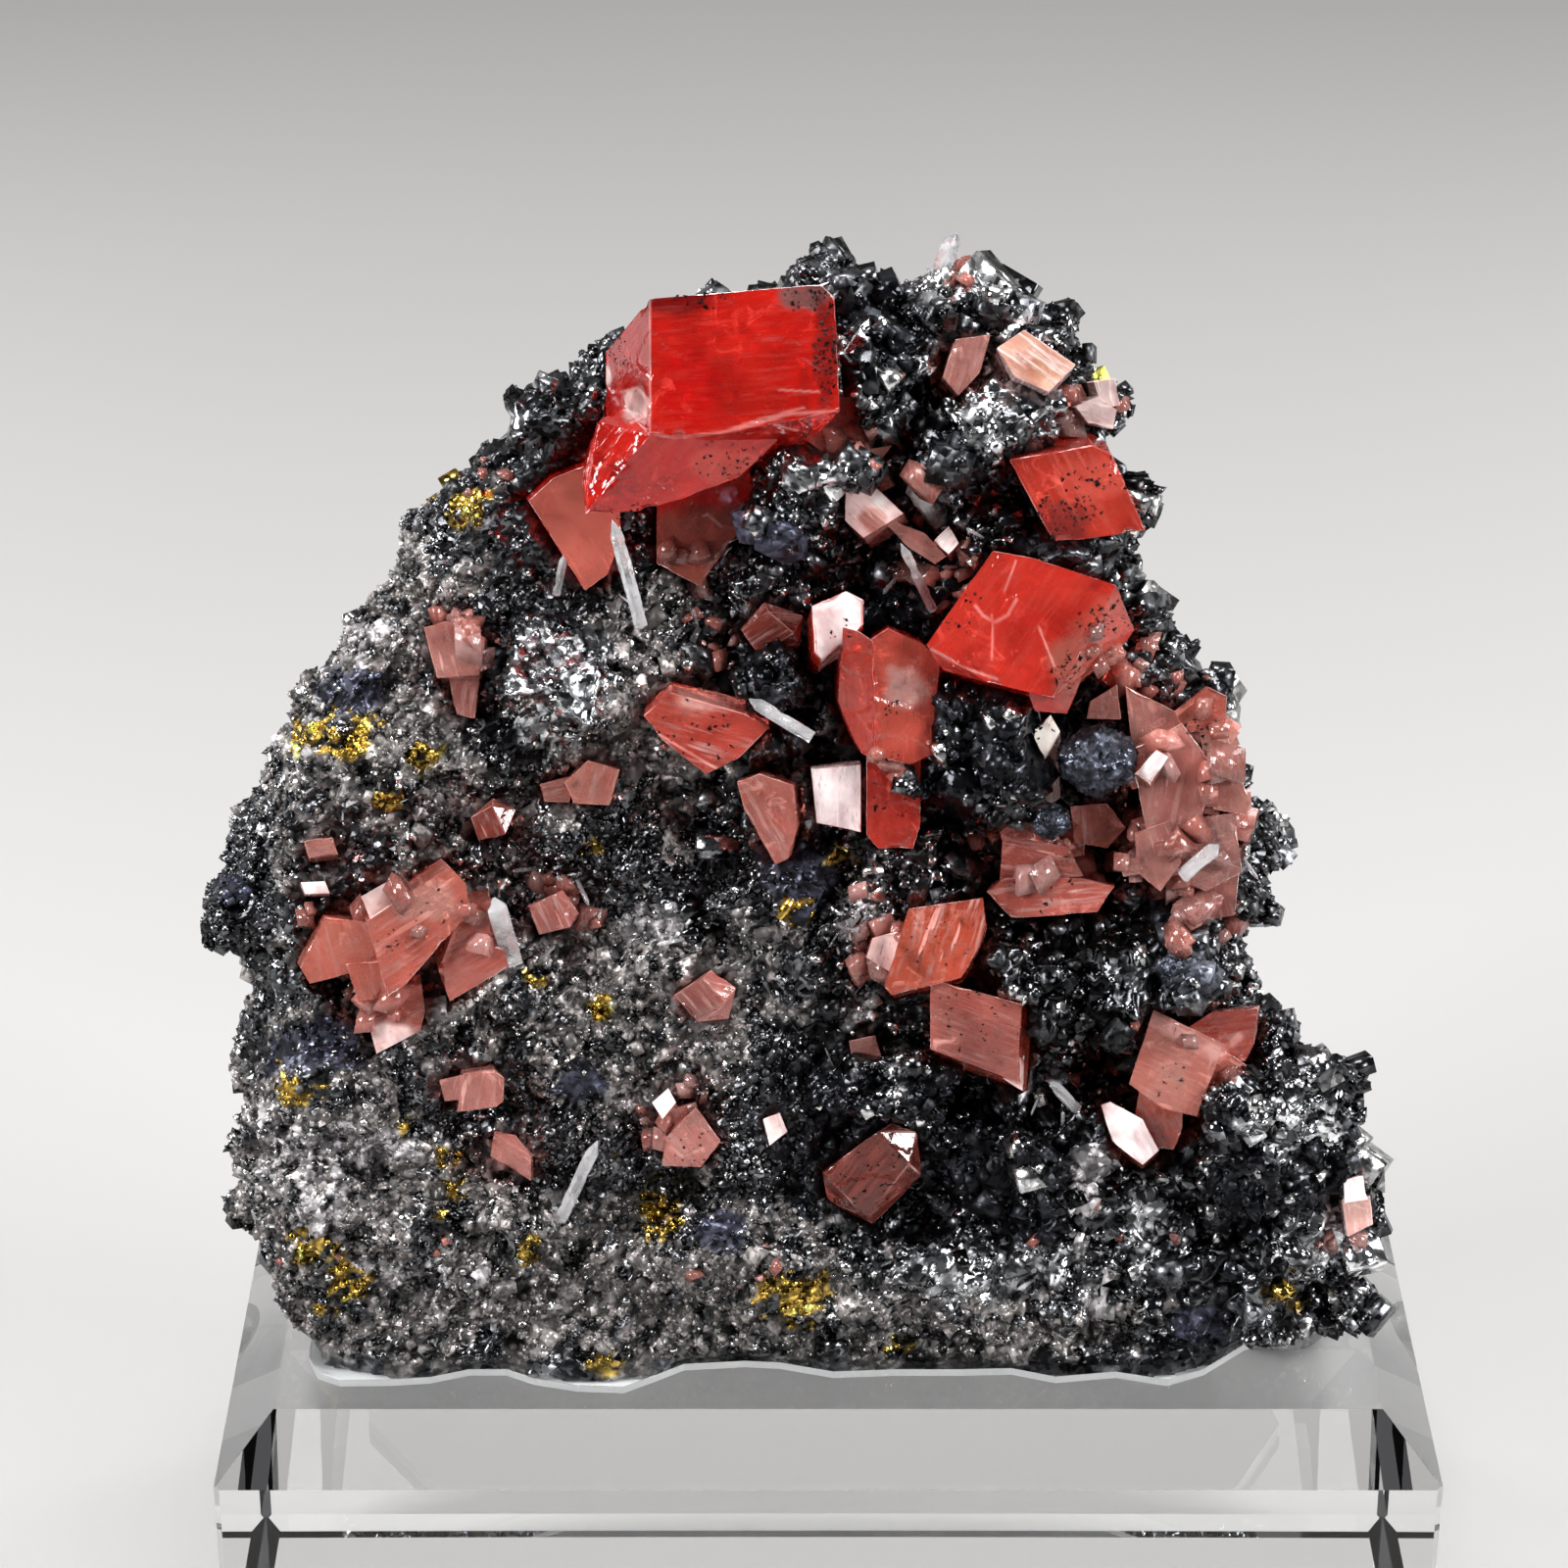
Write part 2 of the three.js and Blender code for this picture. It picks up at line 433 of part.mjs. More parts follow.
const CRYSTALS = [
  ['largest_crystals', RED, [
    [10.5, [-4.5, -5.4, -11], [[-13.7, 49.5], [3.7, 51], [5.2, 49.8], [5.7, 38], [0.8, 37.8], [-6.6, 35.7],
      [-13.7, 35.8]], [[2.7, 35.7, 8.4], [0.7, 35.5, 8.4]]],
    [8, [-0.6, 4.6, -9], [[-13.7, 35.6, 10.2], [-20.3, 27.5, 9], [-14.7, 27.8, 8.1], [-10.7, 29, 7.8],
      [-4.7, 31.2, 7.4], [-2.3, 33.3, 7.6], [-0.3, 35.5, 8]], [[-19, 37, 6.4], [-20.5, 31.7, 6.8]]],
    [3.5, [-0.5, 0.6, -9], [[-26.1, 28.9], [-23.6, 31.2, 2.5], [-17, 34], [-16.6, 25, 4.5], [-18, 21.4, 4],
      [-20.3, 19.7, 3], [-21.9, 23.4, 4.5]]],
    [2.4, [0, 0, -7], [[-13, 33.6], [-4, 35.6, 1.6], [-3, 28, 1], [-7.6, 26.4, 2], [-8.6, 20.2, 2.6],
      [-13, 22.4, 3]]],
    [3.5, [0.6, -0.6, -9], [[1.4, 43.4, 4.4], [7.5, 41.6], [7.3, 36.6], [5, 33, 4], [1, 36, 5]]],
    [3.4, [0.3, -0.3, -8], [[5.6, 36.6], [8, 36.3], [11, 34.5, 2.6], [9.4, 32.4], [6.3, 32.4]]],
  ]],
  ['pale_pink_crystals', SALMON, [
    [5.2, [0.8, -1.2, -8], [[6.3, 30.4], [8.7, 30.9], [12.2, 27.6], [8.1, 25.1], [6.2, 26.9]]],
    [4.2, [0.3, -1, -6], [[15.2, 24.8], [16.8, 26.4], [17.9, 24.6], [16.8, 23.4]]],
    [3.2, [0, 0, -6], [[9.6, 27.4], [14.4, 25.6], [16.6, 23.2], [15.4, 22.4], [12.6, 24.2]]],
  ]],
  ['upper_pink_crystal', SALMON, [
    [5.6, [-0.5, -0.8, -8], [[17.4, 45.4], [21.1, 45.9], [20, 42], [17.8, 39.6], [16.2, 41.5]]],
  ]],
  ['tan_faced_crystal', PALE, [
    [6.4, [-0.6, -1.3, -8], [[21.7, 44.5, 5.4], [24.5, 46.4, 5.6], [29.8, 42.8], [27, 40, 7], [23.5, 41.5, 6.6]]],
  ]],
  ['upper_edge_pinks', PALE, [
    [1.6, [-1, 0, -7], [[29.7, 38.5], [32, 39.6], [34, 38.2], [33.6, 36.2], [31, 36.8]]],
    [0.6, [-1, 0, -6], [[31.6, 41], [33.8, 41.4], [34.3, 38.6], [32.4, 38.4]]],
  ]],
  ['upper_right_crystal', RED, [
    [7, [-0.6, 1.5, -9], [[22.9, 33.1, 7.4], [31.5, 34.6, 6], [33.6, 33.6, 5.8], [37, 25.8, 6], [29.5, 24.8],
      [27.5, 24.6, 7.6]]],
  ]],
  ['middle_crystals', RED, [
    [9, [0.6, -1, -12], [[14.5, 14.2, 8.2], [21.3, 23.8, 7.6], [23.5, 23.1], [25.3, 23.1, 8.6], [33.9, 20.3, 8.4],
      [30.4, 13.4], [27.4, 8.8, 9.4], [20.7, 10.4, 9.6]], [[35.8, 15.7, 5.4], [34.7, 14.2, 5.6], [16.2, 11.6, 7]]],
    [7.2, [0.4, 0.4, -9], [[24, 12, 8], [31.4, 13.4, 7.4], [28.9, 7.1, 5.6], [25.6, 7.4, 6.6]]],
    [7.6, [-0.5, 0.3, -9], [[6, 16, 6.4], [7.6, 15.6, 7.4], [9.1, 14.6, 8.2], [9.4, 2.6, 8], [8, 3, 7.4],
      [7, 4.8, 6.8], [5.5, 8.4, 6.2], [5.7, 12, 6.2]]],
    [7, [0, 0.5, -9], [[8.9, 14.8, 8], [10.6, 15.9, 6.6], [14, 14.4, 6], [16, 12.6, 5.4], [15, 9.4, 5.8],
      [14.9, 2.9, 5.8], [13, 2, 6.4], [9.1, 2.7, 8]]],
    [5, [0, 0, -8], [[8.4, 3.4], [14, 3], [13.9, -4.2], [13.2, -6.6], [9.6, -6.6], [8.4, -5.2]]],
    [6.4, [-0.5, -1.6, -8], [[2.8, 18.2], [6.3, 19.7], [8.2, 18.8], [8.2, 16.2], [3.8, 12.5], [3, 13.4]]],
  ]],
  ['milky_block', PALE, [
    [3, [0, 0.6, -7], [[2.7, 1.5], [7.9, 2], [7.9, -5], [3.3, -4]]],
  ]],
  ['cream_topped_crystal', PALE, [
    [5.6, [0.2, -1, -7], [[25.3, 5.2], [27.2, 7.1], [28.2, 5.4], [26.6, 2.4]]],
    [4, [0, 0, -7], [[25, 4.2], [28, 4], [28.2, -1.4], [26.5, -2.6], [25, -0.5]]],
  ]],
  ['dark_pink_group', SALMON, [
    [3.4, [0, 0.5, -8], [[22.3, -5.2], [28.9, -6.4], [30.6, -9.4], [22, -10.4]]],
    [5, [0.2, 0.6, -8], [[20.6, -11], [22.6, -9.6, 4], [30.5, -9.6, 3.6], [33.8, -10.4, 3.4], [32, -13.1],
      [23.1, -13.8]]],
    [2.6, [0, 0, -7], [[29.2, -2.3], [33, -1.9], [34.9, -4.5], [33, -6.6], [29.6, -6]]],
    [2.4, [0, 0, -7], [[21.7, -2.5], [25.2, -2.2], [25.7, -5.6], [22.2, -5.8]]],
    [1.4, [0, 0, -7], [[24.4, -4], [30.6, -3.6], [30.8, -7.4], [24.4, -7.6]]],
  ]],
  ['right_edge_crystals', SALMON, [
    [4.6, [-0.8, -0.6, -9], [[39.8, 7.4], [43.1, 10], [45.2, 9], [45, 5.6], [41, 5.2]]],
    [4.4, [-1.4, 0, -10], [[42.4, 5.4], [45.1, 5.4], [47.6, -2], [47.2, -3.2], [43.8, -2.6]]],
    [6.4, [0.3, -0.8, -8], [[35.7, 1], [38, 3.5], [39.3, 2.8], [37.4, -0.2]]],
    [4.8, [0, 0, -9], [[35.2, 3.4], [40.6, 6.2], [43.6, 2.2], [42.6, -4.4], [37, -4.8]]],
    [5.4, [0, 0.4, -9], [[35.8, -5], [39.2, -3.8], [40.6, -8], [38.4, -11], [36, -9]]],
    [6, [0.3, 0, -6], [[34.3, -8], [36.1, -7.5], [36.3, -9.2], [34.6, -9.5]]],
    [4.2, [-0.8, 0, -9], [[40.2, -3.6], [46, -3], [46.8, -9], [43, -11], [39.6, -9.4]]],
    [3.4, [-0.8, 0, -8], [[40.4, -10], [46.5, -9], [46, -13.4], [41.5, -14.2]]],
    [3.4, [0, 0, -8], [[34.8, 10], [40.4, 7.2], [41.2, 4.4], [35.6, 3]]],
  ]],
  ['translucent_crystal', SALMON, [
    [3, [0, 0, -7], [[31.2, 8.4], [34, 10.2], [34.4, 6.6], [30.8, 6.6]]],
  ]],
  ['tilted_red_crystal', SALMON, [
    [5.8, [0.2, 1.7, -8], [[-14.4, 7], [-11.6, 9.4, 5], [-4, 7.2, 4.8], [-1.4, 5.8, 5], [-4.6, 2.6], [-8, 0.9],
      [-12.6, 4.6, 6.2]]],
  ]],
  ['tapering_crystal', SALMON, [
    [5.4, [0.5, 0.4, -8], [[-4.9, 0.3], [-2.5, 1.1], [1, -0.1], [1.4, -4.4], [0.5, -7.7, 4.4], [-0.9, -8.3, 4],
      [-4.1, -2.8]]],
  ]],
  ['shaded_pink_crystals', SALMON, [
    [3.4, [0, 0.4, -7], [[-22.4, 0.2], [-20, 2.4, 2.6], [-16.6, 1.5], [-17.8, -2.2], [-21.5, -2]]],
    [1.6, [0, 0, -6], [[-25, 0], [-21.8, 0.8], [-21.8, -1.9], [-24.5, -1.8]]],
  ]],
  ['dark_crystal_middle', SALMON, [
    [1.4, [0, 0, -6], [[-4.5, 15.8], [-1.6, 17.6], [1, 15.4], [-2.6, 13.2]],
      [[-2, 18.6, -0.4], [2, 17.2, -0.4], [1.7, 13.6, 0]]],
  ]],
  ['dark_crystal_left', SALMON, [
    [1.9, [0, 0, -6], [[-32, -3.4], [-29.8, -2.2], [-28.4, -5.2], [-31.2, -5.8]],
      [[-29.6, -1.4, 0.6], [-27.3, -2.6, 0.6]]],
  ]],
  ['left_cluster', SALMON, [
    [6.8, [-0.8, 1.1, -9], [[-42.6, -14], [-38, -11, 6.2], [-34.1, -8.4, 5.6], [-32.5, -10.1], [-32, -13],
      [-38.6, -20.5, 7.6], [-40.4, -21.8, 7.6], [-41.2, -18.9]]],
    [5, [-0.6, 0.6, -8], [[-46.8, -13.5], [-42, -14.2], [-41.4, -18.6], [-44.7, -19.4], [-48.4, -20.4],
      [-49.4, -18.7], [-48.2, -16.2]]],
    [5.6, [0, 0, -8], [[-44.7, -18.4], [-41, -18], [-39.6, -21.8], [-43.5, -22.2]]],
    [3.6, [0, 1, -7], [[-43.2, -21], [-37, -20.4], [-36.6, -23.2, 4.4], [-37.1, -25.2, 4.2], [-41.6, -27.6, 3],
      [-42.5, -24.4, 4.2]]],
    [5.2, [-0.4, 1.4, -9], [[-33, -12.8], [-29.8, -11.8], [-28, -18.7], [-31, -19.5], [-34.1, -22.2],
      [-35.3, -19.1]]],
    [5.8, [0, 0, -7], [[-43.2, -11.5], [-40.4, -9.9], [-39, -11.4], [-42.2, -14]]],
  ]],
  ['small_white_crystals', PALE, [
    [3.2, [0, -0.6, -6], [[-49.4, -10], [-46.8, -9.9], [-46.3, -11.2], [-48.9, -11.3]]],
  ]],
  ['small_pink_crystal', SALMON, [
    [3, [0, -0.6, -6], [[-49, -5.8], [-46, -5.3], [-45.5, -7.2], [-48.5, -7.6]]],
  ]],
  ['pink_by_blade', SALMON, [
    [1.8, [0, 0, -6], [[-26.2, -12.4], [-23.4, -11.2], [-21.8, -14.6], [-25, -15.4]],
      [[-22.6, -10.8, 0.4], [-20.8, -13.2, 0.4]]],
  ]],
  ['upper_left_crystals', SALMON, [
    [4.4, [0.4, -0.3, -8], [[-36.8, 16], [-34.5, 16.7], [-30.4, 15], [-31, 11], [-35.5, 10.8]]],
    [3, [0.2, 0, -7], [[-34.3, 11.4], [-31, 11.2], [-31.5, 6.6], [-33.5, 7]]],
  ]],
  ['lower_left_rhomb', SALMON, [
    [4.4, [-0.3, 0.8, -7], [[-32.7, -29.5], [-29.5, -29.2], [-29.3, -33], [-33.3, -33.5]],
      [[-28.5, -30, 2.8], [-28.6, -32.4, 2.8]]],
    [2.8, [0, 0, -6], [[-35.2, -30.2], [-32.4, -29.6], [-32.6, -32.2], [-34.6, -32.4]]],
  ]],
  ['frosted_pink_crystal', SALMON, [
    [3.6, [0, 0.5, -7], [[-11.3, -21.6], [-8.4, -19.8], [-6, -22.2], [-8.8, -24.4]],
      [[-7.4, -18.9, 2], [-4.9, -20.8, 2.2], [-5.6, -24, 2.4]]],
  ]],
  ['lower_left_wedge', SALMON, [
    [3.8, [0.3, 0.2, -7], [[-29.7, -35.5], [-25.8, -38], [-25.8, -40.5], [-30, -38]], [[-27.4, -35.8, 2]]],
  ]],
  ['lower_middle_crystals', SALMON, [
    [3.6, [0, 0.6, -7], [[-12, -36], [-9, -33], [-6.4, -36.5], [-8.5, -39.1], [-12.5, -39]]],
    [4.2, [0.4, -0.7, -7], [[-13.5, -32.5], [-11.8, -31], [-11, -32.5], [-12.4, -34.2]]],
    [2.4, [0, 0, -6], [[-12.8, -33.6], [-9.8, -32.8], [-10, -36], [-12.4, -36.4]]],
  ]],
  ['pale_spot_crystal', PALE, [
    [2.8, [0, 0, -6], [[-2.2, -34.2], [-0.4, -33.5], [0.4, -35.5], [-1.5, -37]]],
  ]],
  ['brown_red_rhomb', RED, [
    [2.8, [0, 0.3, -8], [[3.9, -39.6], [9.6, -35.4], [12.8, -38.8], [8.4, -44.2]],
      [[11, -34.6, 1.2], [13.6, -35.5, 1], [14.1, -40, 1.4], [9, -45, 1.4], [4.4, -42.6, 1.4]]],
  ]],
  ['striated_and_square_crystals', SALMON, [
    [7.4, [0.3, -0.6, -9], [[12.7, -12.7], [20.3, -11.6], [20.6, -14.4], [20, -16.5], [18.1, -19.8],
      [11, -21.6], [10.2, -20.7], [12.3, -17]]],
    [5.8, [-0.3, 0, -8], [[8.4, -17.7], [9, -15.7], [11.6, -15], [13.4, -17.6], [11.4, -19.6]]],
    [6.6, [1.7, -1.6, -9], [[14.9, -19.9], [24.3, -22.4], [23.8, -30.4], [17.5, -27.9], [14.9, -27.1]]],
    [5, [0.6, 0, -7], [[17.6, -27], [24.6, -27.6], [24.4, -31.4, 4.6]]],
  ]],
  ['shaded_pinks_low', SALMON, [
    [2, [0, 0, -6], [[6.6, -26.2], [9.4, -25.6], [10, -27.8], [7, -28.4]]],
  ]],
  ['lower_right_cluster', SALMON, [
    [7, [0.6, -0.4, -9], [[37.7, -23, 5.6], [44.8, -26.5, 5.6], [44, -29], [42.1, -33.9], [38.6, -33.1],
      [35.2, -30.6], [36.9, -26.8]]],
    [4.8, [0, 0, -8], [[44, -26.6], [47.6, -28.9, 3.8], [45.1, -30.6], [43, -30.6]]],
    [3.6, [0.3, 0.4, -8], [[41.3, -24.8], [43.6, -23.3], [48.4, -22.9], [48, -26.5], [47.1, -28.3],
      [43.6, -28]]],
    [4.6, [0, 0.4, -8], [[36.3, -31.2], [40.7, -32.4], [40.7, -35.3], [39.8, -37.3], [37.4, -37.1],
      [35.8, -33.9]]],
    [6, [0, -0.6, -8], [[32.3, -32.7], [33.3, -32.4], [36.6, -34.2], [38.3, -37.4], [36.6, -38.9],
      [33.5, -36.5]]],
  ]],
  ['right_edge_white_crystal', PALE, [
    [1.6, [-0.6, 0, -6], [[57, -40.4], [59.1, -39.9], [59.6, -42.4], [57.2, -42.8]]],
    [1, [-0.6, 0, -6], [[56.9, -42.4], [59.9, -42], [60.1, -45], [57.5, -46.2]]],
  ]],
  ['top_pink_crystal', SALMON, [
    [-1.6, [0, -1, -6], [[16.8, 53.4], [19, 54.2], [20, 52.6], [18.4, 51]]],
  ]],
];

// Clusters whose crystals stand in one shared hollow of the rock
const SHARED_HOLLOWS = [
  'right_edge_crystals', 'left_cluster', 'lower_right_cluster', 'dark_pink_group', 'upper_edge_pinks',
  'lower_middle_crystals', 'lower_left_rhomb', 'shaded_pink_crystals', 'cream_topped_crystal',
  'upper_left_crystals', 'right_edge_white_crystal',
];

// Quartz needles and blades: lower end, upper end, width and thickness
const NEEDLES = [
  ['quartz_needle_top', [15.2, 50.4, -3.4], [17.6, 56.2, -1], 2.2, 1.4],
  ['quartz_needle_below_large', [-14.6, 16.2, 3], [-17.5, 27, 9.6], 1.6, 1.3],
  ['quartz_needle_left_of_large', [-23.2, 19.4, 1], [-22.4, 23.4, 3.6], 1, 0.9],
  ['quartz_needle_beside_tilted', [2.9, 4.7, 6], [-3.6, 8.7, 4.6], 1.5, 1.2],
  ['quartz_blade_left_cluster', [-27.6, -18.4, 3.4], [-29.6, -11.6, 6.8], 2.3, 1.1],
  ['quartz_needle_lower_left', [-22.8, -44.4, 0.5], [-19, -36.4, 5.2], 1.5, 1.2],
  ['quartz_needle_right', [29.9, -33.2, 3.4], [27.2, -30.4, 6], 1.3, 1.1],
  ['quartz_needle_centre', [15.2, 17.8, 0.4], [11.9, 24.6, 5.6], 1.1, 0.9],
  ['quartz_crystal_upper', [16, 27, 0], [12.9, 31, 4], 2.6, 2],
  ['quartz_blade_right_edge', [40.6, -9.4, 5], [44.4, -6.2, 6.6], 1.7, 1],
];
const TIP_SHARE = 0.16;

function needle(low, high, width, thickness) {
  const start = seen(...low);
  const along = seen(...high).sub(start);
  const length = along.length();
  const shaft = length * (1 - TIP_SHARE);
  const profile = [[0, 0], [0.5, 0], [0.5, shaft], [0.07, length], [0, length]];
  const points = profile.map(([r, height]) => new THREE.Vector2(r, height));
  const geometry = new THREE.LatheGeometry(points, 6);
  geometry.scale(width, 1, thickness);
  const turn = new THREE.Quaternion().setFromUnitVectors(new THREE.Vector3(0, 1, 0), along.normalize());
  geometry.applyQuaternion(turn);
  return solidOf(geometry.translate(start.x, start.y, start.z));
}

// Assembly
const specimen = new THREE.Group();

function addMesh(name, solid, look) {
  specimen.add(meshOf(name, solid, look.colour, look.roughness, look.metalness));
}

addMesh('acrylic_base', acrylicBase(), ACRYLIC);
for (const [side, signX] of [['left', -1], ['right', 1]]) {
  for (const [end, signY] of [['front', -1], ['back', 1]]) {
    const foot = bumperFoot().translate([
      signX * (BASE_WIDTH / 2 - FOOT_INSET), signY * (BASE_DEPTH / 2 - FOOT_INSET), -BASE_HEIGHT,
    ]);
    addMesh(`bumper_foot_${end}_${side}`, foot, BUMPER);
  }
}

let rock = joined([rockBody(), ...LUMPS.map(lump), ...grains()]);
const belowTop = solidOf(new THREE.BoxGeometry(200, 200, 60).translate(0, 0, GAP - 30));
rock = rock.subtract(belowTop.subtract(footPrism(0, -POCKET_DEPTH + GAP, 2 * GAP)));

const needleSockets = joined(NEEDLES.map(([, low, high, width, thickness]) => (
  needle(low, high, width + 2 * GAP, thickness + 2 * GAP)
)));
rock = rock.subtract(needleSockets);
for (const [name, look, members] of CRYSTALS) {
  const corners = members.map((member) => prismCorners(...member));
  const hollows = SHARED_HOLLOWS.includes(name) ? [corners.flat()] : corners;
  rock = rock.subtract(joined(hollows.map(socketOf)));
  addMesh(name, largestPiece(joined(corners.map(convexBody)).subtract(needleSockets)), look);
}
for (const [name, low, high, width, thickness] of NEEDLES) {
  addMesh(name, needle(low, high, width, thickness), QUARTZ);
}
addMesh('matrix', largestPiece(rock), SULPHIDE);

// The origin is the middle of the box's underside
specimen.updateMatrixWorld(true);
const box = new THREE.Box3().setFromObject(specimen);
const centre = box.getCenter(new THREE.Vector3());
specimen.position.set(-centre.x, -centre.y, -box.min.z);

export default specimen;
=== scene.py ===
import itertools
import json
import math

import bmesh
import bpy
import numpy as np
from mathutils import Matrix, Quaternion, Vector
from mathutils.bvhtree import BVHTree


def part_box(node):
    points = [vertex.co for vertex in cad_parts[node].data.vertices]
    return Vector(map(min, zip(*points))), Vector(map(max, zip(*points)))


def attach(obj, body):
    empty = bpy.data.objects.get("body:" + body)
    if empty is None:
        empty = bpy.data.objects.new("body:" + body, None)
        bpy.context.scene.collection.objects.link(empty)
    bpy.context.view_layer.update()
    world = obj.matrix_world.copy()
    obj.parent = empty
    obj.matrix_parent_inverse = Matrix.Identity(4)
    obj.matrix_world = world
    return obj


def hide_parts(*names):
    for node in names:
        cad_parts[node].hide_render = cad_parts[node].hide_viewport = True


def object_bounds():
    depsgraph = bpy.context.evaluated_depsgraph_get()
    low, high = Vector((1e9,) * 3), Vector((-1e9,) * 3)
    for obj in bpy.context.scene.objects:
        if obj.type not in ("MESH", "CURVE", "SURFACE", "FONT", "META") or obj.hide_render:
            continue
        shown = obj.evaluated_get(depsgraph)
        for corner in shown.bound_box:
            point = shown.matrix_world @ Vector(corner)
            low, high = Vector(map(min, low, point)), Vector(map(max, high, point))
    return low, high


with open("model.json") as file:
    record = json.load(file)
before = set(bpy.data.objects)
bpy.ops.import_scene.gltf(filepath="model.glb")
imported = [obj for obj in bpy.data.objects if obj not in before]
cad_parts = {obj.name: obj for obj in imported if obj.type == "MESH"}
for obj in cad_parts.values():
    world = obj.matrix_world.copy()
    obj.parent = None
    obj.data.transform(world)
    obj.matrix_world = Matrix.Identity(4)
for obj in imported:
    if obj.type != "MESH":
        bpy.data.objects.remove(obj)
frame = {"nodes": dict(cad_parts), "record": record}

cad_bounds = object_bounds()

MM = 0.001
NODES = frame["nodes"]
SLOTS = {part["node"]: part["material_slot"] for part in frame["record"]["subparts"]}

# The design frame: its origin is the middle of the base's top, and lengths are in mm
base_low, base_high = (np.array(corner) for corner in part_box("acrylic_base"))
ORIGIN = np.append((base_low + base_high)[:2] / 2, base_high[2])

# The photograph's view: the eye in the design frame, the pitch, and the focal length in pixels of
# the 1600 x 1600 frame
EYE = np.array([-4.5, -393.1, 267.3])
PITCH = math.radians(27.93)
FOCAL_PIXELS = 4500
FRAME_PIXELS = 1600
SENSOR = 36.0
VIEW_DISTANCE = 450.0
FORWARD = np.array([0, math.cos(PITCH), -math.sin(PITCH)])
RIGHT = np.array([1.0, 0, 0])
UP = np.cross(RIGHT, FORWARD)

# The rock's front plane, as in the solids
LEAN = math.radians(11.9)
PLANE_NORMAL = np.array([0, -math.cos(LEAN), math.sin(LEAN)])
PLANE_POINT = np.array([0, -19.0, 0])
# Points farther behind that plane than this, in mm, are no part of the rock's front
BACK_OUT = -14


def to_world(points):
    return np.asarray(points) * MM + ORIGIN


def to_design(points):
    return (np.asarray(points) - ORIGIN) / MM


def seen(u, v, out):
    """The design-frame point at u, v in the front view, `out` mm in front of the rock's plane."""
    ray = FORWARD * VIEW_DISTANCE + RIGHT * u + UP * v
    target = PLANE_POINT + PLANE_NORMAL * out - EYE
    return EYE + ray * (target @ PLANE_NORMAL) / (ray @ PLANE_NORMAL)


def front_view(points):
    """u, v and out of design-frame points."""
    away = points - EYE
    scale = VIEW_DISTANCE / (away @ FORWARD)
    return scale * (away @ RIGHT), scale * (away @ UP), (points - PLANE_POINT) @ PLANE_NORMAL


def from_middle(u, v, patch):
    """Distance from the middle of an ellipse in the front view, 1 on its edge. A patch starts with
    its middle u, v and its half-sizes."""
    middle_u, middle_v, half_u, half_v = patch[:4]
    return np.sqrt(((u - middle_u) / half_u) ** 2 + ((v - middle_v) / half_v) ** 2)


def from_segments(points, segments):
    """Distance from each point to the nearest of the segments, in the front view or in space."""
    nearest = np.full(len(points), np.inf)
    for start, end in segments:
        along = end - start
        share = np.clip(((points - start) @ along) / max(along @ along, 1e-9), 0, 1)
        nearest = np.minimum(nearest, np.linalg.norm(points - start - share[:, None] * along, axis=1))
    return nearest


def from_line(u, v, corners):
    corners = np.array(corners)
    return from_segments(np.stack([u, v], axis=1), zip(corners, corners[1:]))


# Repeatable noise
def lattice(i, j, k, seed):
    """A number from 0 to 1 for each whole i, j, k: the same on every run."""
    with np.errstate(over="ignore"):
        mixed = (i.astype(np.int64) * 73856093) ^ (j.astype(np.int64) * 19349663)
        mixed ^= (k.astype(np.int64) * 83492791) ^ np.int64(seed * 2654435761)
        mixed = (mixed ^ (mixed >> 13)) * 1274126177
        mixed ^= mixed >> 16
    return (mixed & 0xFFFFFF) / float(0x1000000)


def noise(points, size, seed):
    """Smooth noise from -1 to 1 with waves of `size` mm."""
    cell = np.floor(points / size).astype(np.int64)
    f = points / size - cell
    f = f * f * (3 - 2 * f)
    total = np.zeros(len(points))
    for corner in itertools.product((0, 1), repeat=3):
        weight = np.where(corner, f, 1 - f).prod(axis=1)
        total += weight * lattice(*(cell + corner).T, seed)
    return total * 2 - 1


def layered(points, size, seed, layers=3):
    return sum(noise(points, size / 2 ** n, seed + n) / 2 ** n for n in range(layers))


def facets(points, size, step, seed, slope=3.6):
    """Broken facets: every cell of `size` mm is a tilted plane at its own height, with its own tone."""
    cell = np.floor(points / size).astype(np.int64)
    nearest = np.full(len(points), np.inf)
    height, tone = np.zeros((2, len(points)))
    for shift in itertools.product((-1, 0, 1), repeat=3):
        i, j, k = (cell + shift).T
        drawn = [lattice(i, j, k, seed + n) for n in range(8)]
        offset = points - (cell + shift + np.stack(drawn[:3], axis=1)) * size
        tilt = np.stack(drawn[3:6], axis=1) - 0.5
        level = (drawn[6] - 0.5) * 2 * step + (offset * tilt).sum(axis=1) * slope * step / size
        away = (offset ** 2).sum(axis=1)
        closer = away < nearest
        for kept, new in ((nearest, away), (height, level), (tone, drawn[7])):
            kept[closer] = new[closer]
    return height, tone


# Meshes
def per_vertex(mesh, field):
    """Each vertex's "co" or "normal"."""
    values = np.empty(len(mesh.vertices) * 3)
    mesh.vertices.foreach_get(field, values)
    return values.reshape(-1, 3)


def mesh_arrays(mesh):
    """Points and triangles."""
    mesh.calc_loop_triangles()
    faces = np.empty(len(mesh.loop_triangles) * 3, dtype=np.int32)
    mesh.loop_triangles.foreach_get("vertices", faces)
    return per_vertex(mesh, "co"), faces.reshape(-1, 3)


def joined(parts):
    """Several sets of points and triangles as one."""
    points, faces, start = [], [], 0
    for some_points, some_faces in parts:
        points.append(some_points)
        faces.append(some_faces + start)
        start += len(some_points)
    return np.concatenate(points), np.concatenate(faces)


